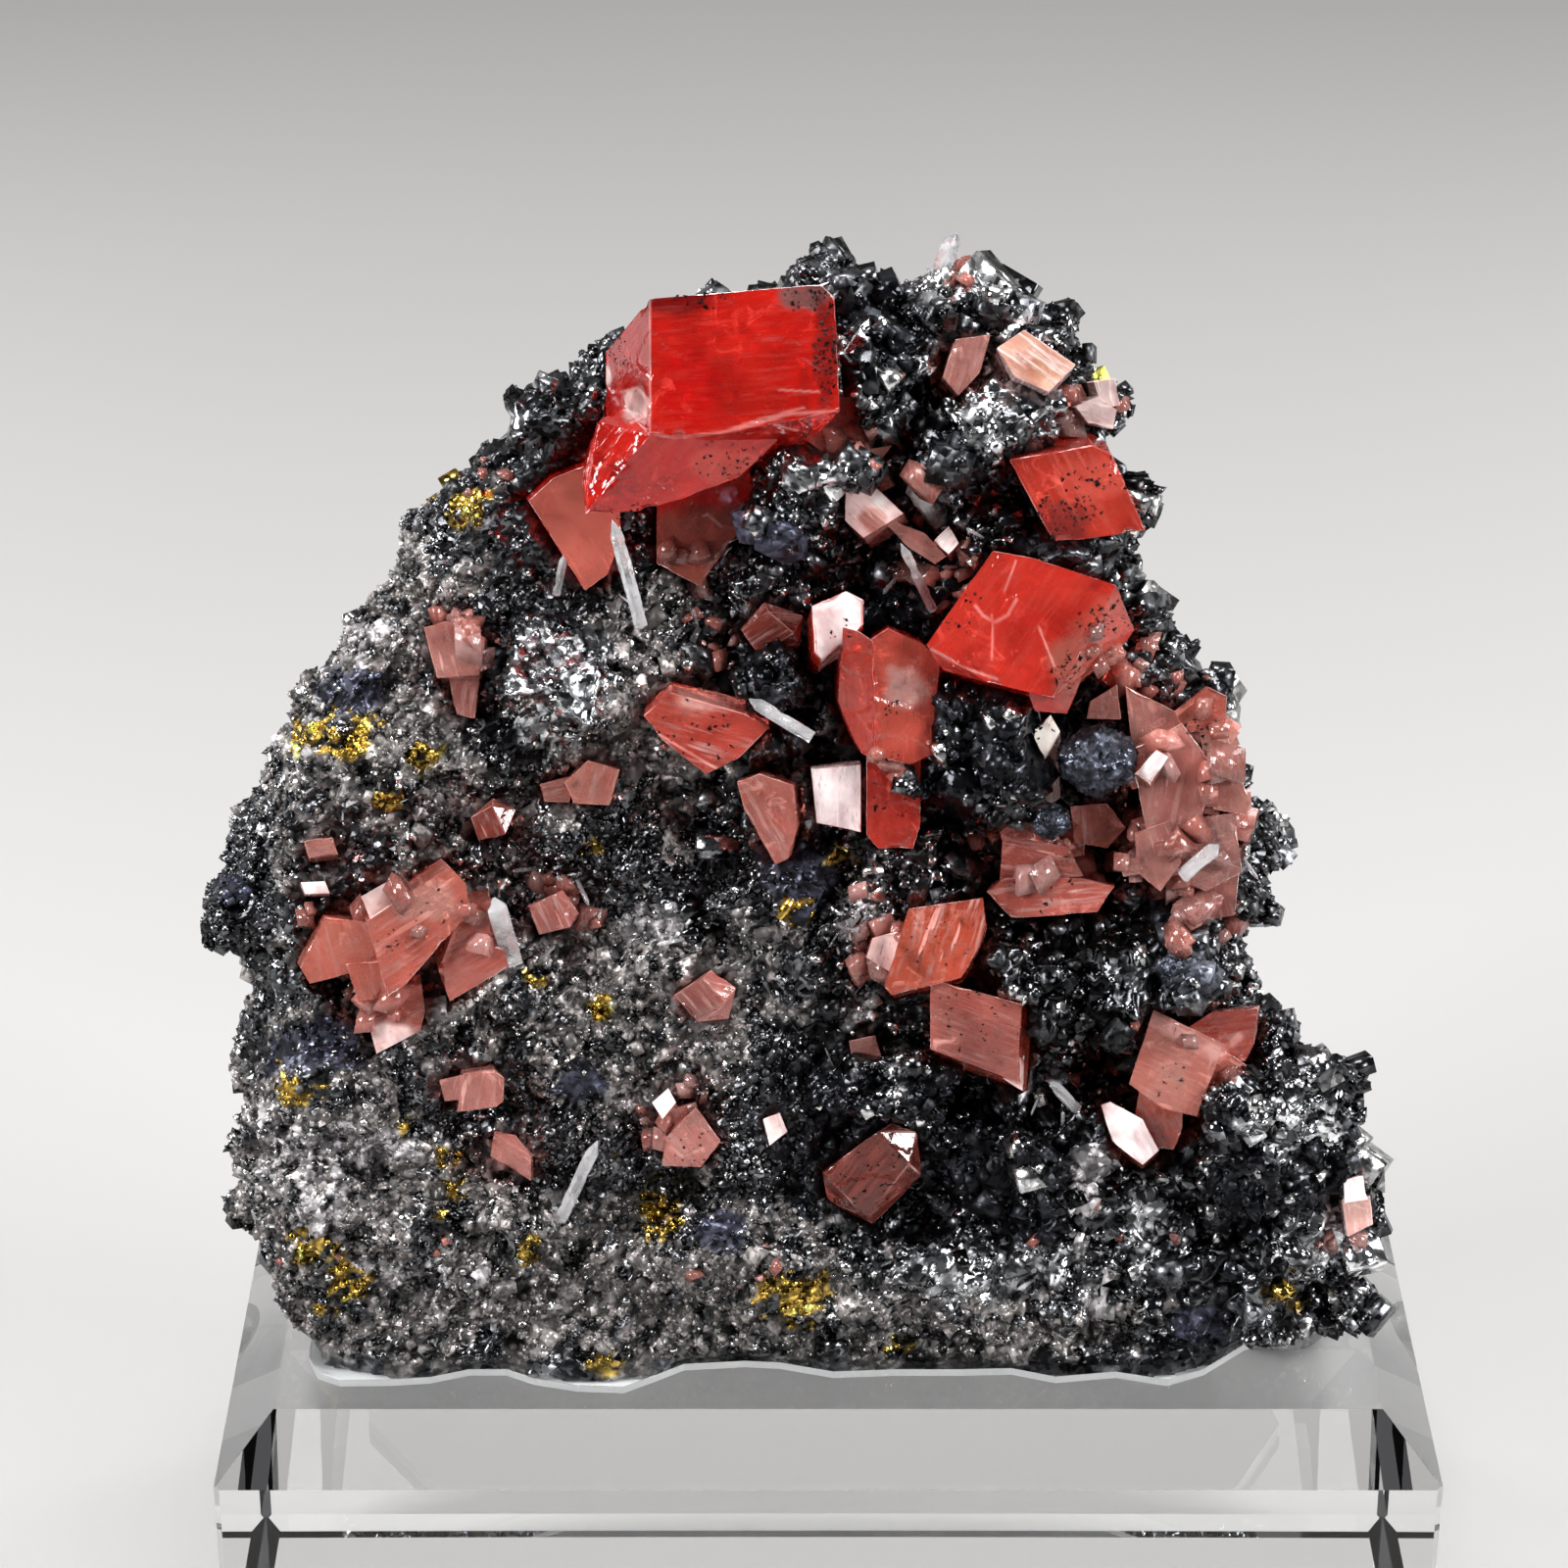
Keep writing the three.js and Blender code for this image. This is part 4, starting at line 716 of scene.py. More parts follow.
def grain_weight(surface):
    """How many grains a face takes, none in the sockets or under the foot line, and the faces' middles."""
    points, faces, in_socket = surface
    middles = points[faces].mean(axis=1)
    outside = ~in_socket[faces].any(axis=1) & (hollow(middles) < 0.5)
    return rock_look(middles)[3] * outside * (middles[:, 2] > 0.8), middles


def build_grains(name, surface, weight, count, low, high, seed, shapes, lift):
    """Grains from low to high mm on a surface, lifted out of it by a share of their size."""
    rng = np.random.default_rng(seed)
    points, faces, _ = surface
    a, b, c, cross = triangles(points, faces)
    area = np.linalg.norm(cross, axis=1) / 2
    share = area * weight
    chosen = rng.choice(len(faces), size=count, p=share / share.sum())
    r, s = np.sqrt(rng.random(count))[:, None], rng.random(count)[:, None]
    spots = (1 - r) * a[chosen] + r * (1 - s) * b[chosen] + r * s * c[chosen]
    sizes = low + (high - low) * rng.random(count) ** 2.2
    spots = spots + unit(cross[chosen]) * (sizes * lift)[:, None]
    keep = (spots[:, 2] - sizes > 0.1) & (clearance(spots, 3) > 0.42 * sizes)
    spots, sizes = spots[keep], sizes[keep]
    points, faces, owner = scattered(shapes, rng, spots, sizes, 0.6, 1.3)
    count = len(spots)
    tint, metal, rough, _ = rock_look(spots)
    shade = rng.uniform(0.35, 1.0, count) * np.where(rng.random(count) < 0.12, 2.6, 1.0)
    tint = tint * shade[:, None] * 1.2
    rough = np.clip(rough * rng.uniform(0.35, 1.6, count), 0.08, 0.8)
    glint = (rng.random(count) < 0.13) & (tint[:, 0] < tint[:, 2] * 2)
    tint[glint] = rng.uniform(0.4, 0.75, (glint.sum(), 1))
    metal[glint], rough[glint] = 1.0, 0.2
    micro = rng.uniform(0.05, 0.5, count)
    metal_piece(name, points, faces, tint[owner], np.stack([metal, rough, micro], axis=1)[owner])


front_weight, front_middles = grain_weight(front_rock)
back_weight, _ = grain_weight(back_rock)
blocky = blockiness(front_middles)
FLAT_FACED = [CUBE, OCTAHEDRON, TETRAHEDRON]
build_grains("coarse_grains", front_rock, front_weight * blocky ** 2, 560, 1.6, 3.9, 51, [CUBE], -0.26)
build_grains("medium_grains", front_rock, front_weight * blocky, 5200, 0.8, 1.9, 52, [CUBE, OCTAHEDRON], -0.15)
build_grains("fine_grains", front_rock, front_weight * (1.3 - blocky), 11000, 0.35, 1.0, 53, FLAT_FACED, -0.1)
build_grains("finest_grains", front_rock, front_weight * (1.15 - blocky), 11000, 0.25, 0.6, 54, FLAT_FACED, 0.0)
build_grains("back_grains", back_rock, back_weight, 6000, 0.5, 2.0, 55, [CUBE, OCTAHEDRON], -0.15)

# Crystals: every node is taken over with eased edges, and coloured by what the photograph shows.
# Paler or darker regions of a node: middle u, v, half-sizes, tint
REGIONS = {
    "largest_crystals": [(-10.5, 49.2, 3.6, 1.3, (0.4, 0.012, 0.01)),
        (2.4, 49.8, 3.0, 1.5, (0.34, 0.16, 0.15)), (4.2, 44, 1.2, 5.5, (0.5, 0.02, 0.015)),
        (-15.2, 38.8, 1.5, 1.7, PALE_TINT), (-18.4, 41.6, 0.9, 1.4, PALE_TINT),
        (-5.5, 32.4, 5, 1.8, (0.85, 0.09, 0.06)), (-9.5, 40.5, 3, 4, (0.95, 0.012, 0.008)),
        (-8.5, 24, 5.5, 5, (0.6, 0.16, 0.11)), (-5, 25.4, 2.2, 3, BROWN_TINT)],
    "middle_crystals": [(31, 12, 4.5, 5, SALMON_TINT), (33, 17, 2.6, 2.6, (0.85, 0.14, 0.09)),
        (12.5, 10, 2.4, 2.4, (0.92, 0.5, 0.44)), (12, 0.5, 2, 2, (0.6, 0.05, 0.03))],
    "upper_right_crystal": [(28, 27, 4, 2, (0.42, 0.05, 0.04)), (31, 31, 4, 2.4, (0.85, 0.13, 0.09))],
    "pale_pink_crystals": [(9, 27, 1.6, 1.4, PINK_TINT)],
    "tilted_red_crystal": [(-8, 8.6, 3.6, 1.4, (0.86, 0.4, 0.34))],
    "left_cluster": [(-37, -12, 4, 2, (0.9, 0.42, 0.34)), (-40, -26.4, 3, 2.4, PALE_TINT)],
    "tan_faced_crystal": [(26.5, 42.4, 1.8, 1.2, (0.6, 0.3, 0.18))],
    "striated_and_square_crystals": [(21, -27, 3, 3, (0.62, 0.2, 0.16))],
}
# Whole sides in a colour of their own: the side's middle u, v, tint. Some are painted light: white and pale
# sides of the middle and pale pink crystals are painted highlights of faces that mirror a lamp, and the darker
# red left side of the largest crystal is painted shade.
SIDE_COLOURS_AND_PAINTED_LIGHT = {
    # The first side here, the left one, is darker red as painted shade
    "largest_crystals": [(-16, 38.1, (0.6, 0.014, 0.01)), (-2.3, 33.1, (0.45, 0.06, 0.04)),
        (-9, 29.1, (0.92, 0.035, 0.022)), (-20.4, 27.9, SALMON_TINT), (8, 34.4, (0.8, 0.36, 0.3)),
        (4.6, 37.4, (0.82, 0.2, 0.15))],
    # The white side here is a painted highlight
    "middle_crystals": [(5.8, 15.9, WHITE_AND_HIGHLIGHT_TINT), (12, 10.7, (0.84, 0.15, 0.1)),
        (11, -1, (0.72, 0.06, 0.04)), (7.5, 9.1, (0.7, 0.08, 0.05)), (4.8, 12.9, PALE_TINT)],
    # The pale and white sides here are painted highlights
    "pale_pink_crystals": [(8.3, 28.2, PALE_TINT), (16.7, 24.8, WHITE_AND_HIGHLIGHT_TINT), (14.1, 24.7, PINK_TINT)],
    "lower_right_cluster": [(35.1, -35.4, WHITE_AND_HIGHLIGHT_TINT), (40.4, -29.4, (0.84, 0.33, 0.26)),
        (45.6, -26, (0.8, 0.15, 0.1))],
    "right_edge_crystals": [(37.6, 1.8, WHITE_AND_HIGHLIGHT_TINT), (44, 2.2, (0.9, 0.42, 0.34)),
        (42.2, 7.1, (0.8, 0.2, 0.14)), (41.6, -7.3, (0.74, 0.36, 0.31))],
    "left_cluster": [(-41, -11.7, PALE_TINT), (-31.2, -15.7, (0.84, 0.26, 0.2))],
    "small_white_crystals": [(-47.8, -10.6, WHITE_AND_HIGHLIGHT_TINT)],
    "lower_middle_crystals": [(-12.2, -32.6, WHITE_AND_HIGHLIGHT_TINT)],
    "milky_block": [(5.5, -1.4, (0.7, 0.62, 0.62))],
    "striated_and_square_crystals": [(16.1, -16.8, (0.87, 0.17, 0.09)), (18.9, -24.2, (0.72, 0.22, 0.17)),
        (10.3, -16.6, PALE_TINT), (23.9, -29.5, PALE_TINT)],
    "tan_faced_crystal": [(25.3, 43, (0.82, 0.5, 0.37))],
    "cream_topped_crystal": [(26.8, 5, (0.93, 0.82, 0.74)), (26.6, 1.8, (0.7, 0.4, 0.36))],
    "right_edge_white_crystal": [(58.2, -41.4, WHITE_AND_HIGHLIGHT_TINT), (58.5, -43.2, (0.84, 0.45, 0.39))],
}
# Pale cracks, and one pale line on the middle crystals that is a painted highlight along an edge: half-width in
# mm, and the corners' u, v
CRACKS_AND_EDGE_HIGHLIGHT = {
    "largest_crystals": [
        (0.16, [(-13.7, 35.8), (-11, 35.3), (-6.7, 35.8), (-3.7, 36.5), (0.7, 37.8), (5.3, 38)]),
        (0.12, [(-6, 36), (-2.4, 37.2), (2, 38.4)]), (0.12, [(-1, 36.6), (1.4, 36)]),
        (0.12, [(-13.7, 50), (-13.7, 36)]), (0.1, [(-0.5, 40.2), (3.6, 40)]),
        (0.14, [(-16.6, 40), (-15, 40.4), (-13.9, 39.2), (-14.2, 37.6), (-15.6, 36.9)])],
    "middle_crystals": [(0.15, [(19.5, 18.2), (20.3, 17.2), (21.5, 16.5), (22.8, 17.2), (23.7, 18.8)]),
        (0.1, [(21.2, 17.3), (21.3, 16), (21.2, 12.7)]), (0.1, [(22.5, 19.7), (23.7, 22.8)]),
        # The first line here is a painted highlight along an edge, not a crack
        (0.14, [(15, 13.7), (18, 12), (21.7, 10.7)]), (0.1, [(26, 16), (27.6, 12)])],
    "lower_right_cluster": [(0.7, [(37.2, -23.8), (44.2, -27.4)]), (0.4, [(44.4, -27.6), (46.4, -25.8)])],
    "tilted_red_crystal": [(0.12, [(-13.5, 5.5), (-8, 2.2), (-5, 0.5)])],
}
LINE_TINT = np.array([0.95, 0.6, 0.55])
# How strongly a node shows its growth lines
LINED = {"largest_crystals": 0.16, "middle_crystals": 0.22, "upper_right_crystal": 0.35, "brown_red_rhomb": 0.3,
         "right_edge_crystals": 0.45, "left_cluster": 0.4, "lower_right_cluster": 0.4}
LINED_ELSEWHERE = 0.7
SHARP = math.radians(12)


def cut_fine(model, longest, lines):
    """Splits long edges, and cuts finer along the lines in the front view."""
    for _ in range(6):
        edges = list(model.edges)
        middles = np.array([tuple((e.verts[0].co + e.verts[1].co) / 2) for e in edges])
        u, v, _ = front_view(to_design(middles))
        limit = np.full(len(edges), longest)
        for _, corners in lines:
            limit = np.where(from_line(u, v, corners) < 0.4, 0.2, limit)
        long_edges = [e for e, most in zip(edges, limit) if e.calc_length() > most * MM]
        if not long_edges:
            return
        bmesh.ops.subdivide_edges(model, edges=long_edges, cuts=1)
        bmesh.ops.triangulate(model, faces=model.faces)


def eased_crystal(node, edge, longest):
    """A crystal with flat faces and eased edges, fine enough to carry its colours: the mesh, the sharp
    edges' ends, and each side's middle and the directions across and along its growth lines."""
    model = bmesh.new()
    model.from_mesh(NODES[node].data)
    bmesh.ops.remove_doubles(model, verts=model.verts, dist=1e-6)
    bmesh.ops.dissolve_limit(model, angle_limit=math.radians(1.0), verts=model.verts, edges=model.edges)
    side = model.faces.layers.int.new("side")
    eased = model.faces.layers.int.new("eased")
    sides = []
    for index, face in enumerate(model.faces):
        face[side] = index
        longest_edge = max(face.edges, key=lambda e: e.calc_length())
        along = (longest_edge.verts[1].co - longest_edge.verts[0].co).normalized()
        sides.append([tuple(face.calc_center_median()), tuple(face.normal.cross(along)), tuple(along)])
    edges = [e for e in model.edges if e.is_manifold and e.calc_face_angle() > SHARP]
    ends = np.array([[tuple(vertex.co) for vertex in e.verts] for e in edges])
    made = bmesh.ops.bevel(model, geom=edges, offset=edge * MM, segments=1, affect="EDGES", clamp_overlap=True)
    for face in made["faces"]:
        face[eased] = 1
    bmesh.ops.triangulate(model, faces=model.faces)
    cut_fine(model, longest, CRACKS_AND_EDGE_HIGHLIGHT.get(node, []))
    mesh = bpy.data.meshes.new(node + "_crystal")
    model.to_mesh(mesh)
    model.free()
    return mesh, to_design(ends), np.array(sides)


def worn(mesh, ends, depth):
    """Moves the skin in by faint steps, and chips the edges here and there. Returns the points before."""
    points = per_vertex(mesh, "co")
    design = to_design(points)
    step, _ = facets(design, 3.4, depth, 601, 1.5)
    near_edge = np.clip(1 - from_segments(design, ends) / 0.7, 0, 1)
    chip = np.clip(noise(design, 1.6, 611) - 0.25, 0, 1) * near_edge * 0.5
    inward = np.clip(depth - step, 0, None) * 0.6 + chip
    mesh.vertices.foreach_set("co", (points - per_vertex(mesh, "normal") * (inward * MM)[:, None]).ravel())
    mesh.update()
    return design


def side_tints_with_painted_light(node, sides):
    """The tint of each side: the node's own with a tone, or a colour of the side's own, which on a few sides is
    painted light: painted highlights on white and pale faces, painted shade on the largest crystal's left face.
    """
    rng = np.random.default_rng(len(sides) + len(node))
    tints = node_tint(node) * rng.uniform(0.8, 1.15, (len(sides), 1))
    u, v, _ = front_view(to_design(sides[:, 0]))
    outward = np.cross(sides[:, 2], sides[:, 1])
    facing = (outward * (to_world(EYE) - sides[:, 0])).sum(axis=1) > 0
    for middle_u, middle_v, colour in SIDE_COLOURS_AND_PAINTED_LIGHT.get(node, []):
        apart = np.where(facing, np.hypot(u - middle_u, v - middle_v), np.inf)
        tints[np.argmin(apart)] = colour
    return tints


def taken(mesh, name):
    """A whole number of each corner's face, stored while the mesh was made and now removed."""
    values = np.empty(len(mesh.polygons), dtype=np.int32)
    mesh.attributes[name].data.foreach_get("value", values)
    mesh.attributes.remove(mesh.attributes[name])
    return np.repeat(values, 3)


def paint_crystal(mesh, node, design, sides, side, eased):
    """Colours each corner of the mesh, so that every side keeps its own tint, and stores its growth
    lines' directions."""
    corner = np.empty(len(mesh.loops), dtype=np.int32)
    mesh.loops.foreach_get("vertex_index", corner)
    tint = side_tints_with_painted_light(node, sides)[side]
    u, v, _ = front_view(design)
    for *patch, colour in REGIONS.get(node, []):
        apart = from_middle(u, v, patch) + 0.25 * noise(design, 1.4, 541)
        share = np.clip((1.1 - apart) / 0.35, 0, 1)[corner][:, None]
        tint = tint * (1 - share) + np.array(colour) * share
    tint = tint * np.clip(1 + 0.3 * layered(design, 4.5, 521, 4), 0.5, 1.4)[corner][:, None]
    rim = eased * np.clip(0.4 + 0.9 * noise(design, 1.8, 531), 0, 1)[corner] * 0.6
    # Pale lines along the cracks, one of them a painted highlight along an edge
    for width, corners in CRACKS_AND_EDGE_HIGHLIGHT.get(node, []):
        broken = np.clip(1.4 + noise(design, 1.3, 551), 0, 1)
        line = np.clip(1.6 - from_line(u, v, corners) / width, 0, 1) * broken
        rim = np.maximum(rim, line[corner] * 0.5)
    tint = tint + (LINE_TINT - tint) * rim[:, None]
    pale = np.clip((tint[:, 1] - 0.45) / 0.3, 0, 1)
    clear = (1 - 0.75 * pale) * (1 - 0.6 * rim)
    veiled = np.clip(0.45 + 1.1 * noise(design, 5, 511), 0, 1)[corner]
    lined = np.full(len(corner), LINED.get(node, LINED_ELSEWHERE))
    if node == "striated_and_square_crystals":
        lined = np.where(v[corner] > -19.5, 1.0, 0.35)
    places = (per_vertex(mesh, "co") / MM)[corner]
    across, along = ((places * sides[side][:, n]).sum(axis=1) for n in (1, 2))
    paint(mesh, "tint", np.clip(tint, 0, 1), "CORNER")
    paint(mesh, "look", np.stack([clear, veiled, lined], axis=1), "CORNER")
    paint(mesh, "across", np.stack([across, along, side * 3.7], axis=1), "CORNER", "FLOAT_VECTOR")


CRYSTAL_MATERIALS = {
    "red_rhodochrosite": crystal_material("red_crystal", 0.7, 0.06, (0.95, 0.1, 0.06, 1), 30,
                                          (0.95, 0.2, 0.15, 1)),
    "pink_rhodochrosite": crystal_material("pink_crystal", 0.72, 0.09, (0.95, 0.42, 0.35, 1), 25,
                                          (0.9, 0.55, 0.5, 1)),
    "pale_rhodochrosite": crystal_material("pale_crystal", 0.4, 0.14, (0.95, 0.7, 0.66, 1), 20,
                                          (0.95, 0.85, 0.83, 1)),
    "quartz": clouded_material("clear_quartz", (0.93, 0.93, 0.95, 1), 1.54, (240, 3, 0.6),
                               (0.4, 0.7, 0.86, 0.6), (0.3, 0.7, 0.04, 0.16)),
}


# Crystals longer than this have wider eased edges and deeper wear
LARGE = 12 * MM
# The longest edge of a triangle in mm: finer on the crystals that the eye goes to
LONGEST_EDGES = {"largest_crystals": 0.55, "middle_crystals": 0.55}
LONGEST_ELSEWHERE = 0.7


def build_crystals():
    """Builds every crystal, and returns the skins of those that aren't quartz."""
    skins = []
    for node, slot in CRYSTALS.items():
        size = max(b - a for a, b in zip(*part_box(node)))
        edge, wear = (0.13, 0.07) if size > LARGE else (0.08, 0.04)
        mesh, ends, sides = eased_crystal(node, edge, LONGEST_EDGES.get(node, LONGEST_ELSEWHERE))
        place(node + "_crystal", mesh, [node])
        design = worn(mesh, ends, wear)
        side, eased = taken(mesh, "side"), taken(mesh, "eased")
        if slot != "quartz":
            paint_crystal(mesh, node, design, sides, side, eased)
            skins.append(mesh_arrays(mesh))
        mesh.materials.append(CRYSTAL_MATERIALS[slot])
    return skins


skin_points, skin_faces = joined(build_crystals())
# In the form that the rock's surface has
crystal_surface = to_design(skin_points), skin_faces, np.zeros(len(skin_points), dtype=bool)

# Dark specks grown on and in the crystals: middle u, v, half-sizes and count
SPECK_ZONES = [
    (4.3, 43.5, 1.3, 5, 150), (-17, 44.2, 1, 1.8, 26), (-5.5, 32.8, 3.6, 2.2, 110),
    (-15, 27.4, 3, 1.4, 16), (-8, 49.6, 4, 1, 22), (2.5, 49.2, 3, 1.6, 40), (28.5, 27.6, 4.4, 2.6, 80),
    (31.5, 31.5, 5, 2.4, 30), (32.6, 16.8, 2.8, 2, 70), (29.2, 11.6, 1.8, 2.2, 40), (18, 18, 4, 3, 14),
    (11, 7.6, 1.2, 0.9, 14), (10.6, 2.8, 2, 1, 12), (11, -1, 3, 3, 26), (-8, 5, 5, 4, 24),
    (8.7, -39.5, 5, 4.5, 50), (-36.7, -15, 6, 5, 24), (19, -24, 4, 4.5, 36), (16, -17, 4, 3, 14),
    (-9.7, -36.7, 3, 2.4, 20), (42, 5.5, 3, 2, 26), (27, -10, 5, 4, 30), (5.6, 16, 1.6, 2.2, 10),
    (26.6, 5.4, 1.2, 1, 6), (40, -30, 3, 3, 10),
]


def build_specks():
    rng = np.random.default_rng(73)
    points, faces, _ = crystal_surface
    a, b, c, cross = triangles(points, faces)
    middles = (a + b + c) / 3
    u, v, _ = front_view(middles)
    seen_area = np.clip((cross * unit(EYE - middles)).sum(axis=1), 0, None)
    spots, normals = [], []
    for zone in SPECK_ZONES:
        weight = seen_area * np.clip(1.2 - from_middle(u, v, zone) ** 2, 0, 1)
        if weight.sum() == 0:
            continue
        chosen = rng.choice(len(faces), size=zone[4], p=weight / weight.sum())
        mixed = rng.dirichlet((1, 1, 1), zone[4])
        spots.append(mixed[:, :1] * a[chosen] + mixed[:, 1:2] * b[chosen] + mixed[:, 2:] * c[chosen])
        normals.append(unit(cross[chosen]))
    spots = np.concatenate(spots)
    sizes = rng.uniform(0.12, 0.36, len(spots)) * np.where(rng.random(len(spots)) < 0.1, 1.6, 1.0)
    spots = spots - np.concatenate(normals) * (sizes * 0.3)[:, None]
    points, faces, owner = scattered([OCTAHEDRON, TETRAHEDRON], rng, spots, sizes, 0.5, 1.4)
    tint = np.array([0.02, 0.012, 0.012]) * rng.uniform(0.5, 1.6, (len(spots), 1))
    metal_piece("crystal_specks", points, faces, tint[owner], np.tile([1.0, 0.45, 0.1], (len(points), 1)))


# Small crystals: middle u, v, half-sizes, count, least and greatest length in mm.
# Pink rhombs on the rock
PINK_SPOTS = [
    (41, 0, 6, 9, 30, 1.6, 3.6), (42, -12, 5, 5, 26, 1.4, 3.4), (37, 8, 5, 4, 14, 1.2, 2.6),
    (11, 31, 3.5, 5, 12, 1.2, 3.0), (14, 25, 5, 4, 10, 1.0, 2.2), (8, 36, 2.5, 4, 8, 1.2, 2.6),
    (-23, -13, 4, 4, 9, 1.2, 2.4), (-42, -16, 8, 7, 12, 1.0, 2.2), (32, -6, 6, 4, 12, 1.2, 2.8),
    (35, 12, 4, 3, 10, 1.0, 2.2), (31, 38, 3.5, 4, 10, 1.0, 2.4), (8, -16, 3, 5, 4, 1.4, 2.6),
    (38, -30, 6, 6, 9, 1.0, 2.2), (-11, -34, 4, 4, 6, 1.0, 2.0), (22, -8, 4, 4, 8, 1.0, 2.4),
    (-6, 16, 6, 4, 8, 0.9, 2.0), (-34, 14, 3, 4, 6, 0.9, 1.8), (18, 21, 4, 3, 8, 1.0, 2.2),
    (-2, -48, 14, 6, 6, 0.7, 1.4), (-44, -46, 10, 8, 7, 0.7, 1.4), (57, -46, 3, 4, 5, 1.0, 2.0),
    (33, -46, 8, 6, 6, 0.8, 1.6), (18, 52, 2.5, 1.5, 6, 0.8, 1.6), (-30, 32, 6, 3, 4, 0.8, 1.6),
]
# Quartz needles on the rock
QUARTZ_SPOTS = [
    (-24, -13, 6, 5, 24, 1.4, 4.6), (7, -12, 4, 7, 18, 1.4, 4.0), (16, 25, 7, 6, 12, 1.4, 4.4),
    (31, -42, 3, 6, 12, 1.0, 3.0), (-16, 18, 9, 6, 12, 1.4, 4.0), (-21, -41, 5, 6, 8, 1.0, 3.0),
    (42, -8, 5, 5, 8, 1.6, 4.6), (-44, -38, 8, 6, 10, 1.0, 2.6), (0, -20, 14, 10, 12, 1.0, 3.0),
    (18, 52, 4, 2, 6, 1.0, 2.6), (28, -32, 4, 4, 6, 1.2, 3.0), (-44, 0, 6, 4, 6, 1.0, 2.4),
]
# Rhombs that sit on larger crystals
ON_CRYSTALS = [
    (41, 2, 6, 7, 22, 1.4, 3.2), (42, -10, 4, 5, 20, 1.4, 3.2), (37, -6, 3, 5, 10, 1.2, 2.8),
    (28, -9, 5, 4, 10, 1.2, 2.6), (32, 13, 3, 3, 7, 1.2, 2.4), (-37, -13, 6, 3, 8, 1.2, 2.6),
    (-31, -15, 3, 4, 5, 1.2, 2.4), (-40, -23, 3, 4, 5, 1.2, 2.4), (-8, 24, 4, 4, 4, 1.4, 3.0),
    (-33, 13, 3, 3, 5, 1.2, 2.4), (12, 3, 3, 4, 4, 1.4, 2.6), (8, 35, 3, 4, 8, 1.2, 2.8),
    (11, -17, 2, 3, 4, 1.2, 2.2), (44, -27, 3, 3, 3, 1.2, 2.2), (-10, -36, 3, 3, 4, 1.0, 2.0),
]


def spots_near(rng, places, surface):
    """Random places on a surface's front round the listed middles, with their normals and lengths."""
    points, faces, in_socket = surface
    middles = points[faces].mean(axis=1)
    normals = unit(triangles(points, faces)[3])
    u, v, _ = front_view(middles)
    free = ~in_socket[faces].any(axis=1) & (middles[:, 2] > 1.5)
    free &= (normals * (EYE - middles)).sum(axis=1) > 0
    chosen, lengths = [], []
    for *patch, count, low, high in places:
        near = np.flatnonzero(free & (from_middle(u, v, patch) < 1))
        picked = rng.choice(near, size=min(count, len(near)), replace=False)
        chosen.append(picked)
        lengths.append(low + (high - low) * rng.random(len(picked)) ** 1.5)
    chosen = np.concatenate(chosen)
    return middles[chosen], normals[chosen], np.concatenate(lengths)


def build_small_rhombs(name, places, surface, lift, seed):
    rng = np.random.default_rng(seed)
    spots, normals, sizes = spots_near(rng, places, surface)
    spots = spots + normals * (sizes * lift)[:, None]
    points, faces, owner = scattered([RHOMB], rng, spots, sizes, 0.6, 1.25)
    count = len(spots)
    share = 0.6 * rng.random((count, 1)) ** 2.5
    tint = np.array([0.82, 0.3, 0.24]) * (1 - share) + np.array(PALE_TINT) * share
    tint = tint * rng.uniform(0.45, 1.05, (count, 1))
    look = [rng.uniform(low, high, count) for low, high in ((0.8, 1.0), (0, 1), (0.1, 0.6))]
    mesh = new_mesh(name, to_world(points), faces)
    paint(mesh, "tint", np.clip(tint, 0, 1)[owner])
    paint(mesh, "look", np.stack(look, axis=1)[owner])
    paint(mesh, "across", points * 1.3 + owner[:, None] * 0.7, kind="FLOAT_VECTOR")
    mesh.materials.append(CRYSTAL_MATERIALS["pink_rhodochrosite"])


def build_small_needles():
    rng = np.random.default_rng(72)
    spots, normals, long = spots_near(rng, QUARTZ_SPOTS, front_rock)
    thick = rng.uniform(0.1, 0.16, len(spots)) * long
    lean = unit(rng.normal(size=(len(spots), 3)) * 0.9 + normals)
    across = unit(np.cross(lean, np.array([0.31, 0.77, 0.55])))
    rotations = np.stack([across, np.cross(lean, across), lean], axis=2)
    spots = spots + lean * (long * 0.25)[:, None]
    corners, sides = hexagonal_needle()
    points, faces, _ = many([(corners, sides)], rng, spots, np.stack([thick, thick, long], axis=1), rotations)
    clear_of_base = points[:, 2].reshape(-1, len(corners)).min(axis=1) > 0.2
    faces = faces.reshape(-1, len(sides), 3)[clear_of_base].reshape(-1, 3)
    mesh = new_mesh("small_quartz_needles", to_world(points), faces)
    mesh.materials.append(CRYSTAL_MATERIALS["quartz"])


# Round blue-black knobs of fine grain: middle u, v, how far out, and radius in mm
KNOBS = [(32, 2.4, 5.2, 3.6), (27.2, -3.7, 4.6, 1.9), (40.6, -19, 6.2, 2.1)]


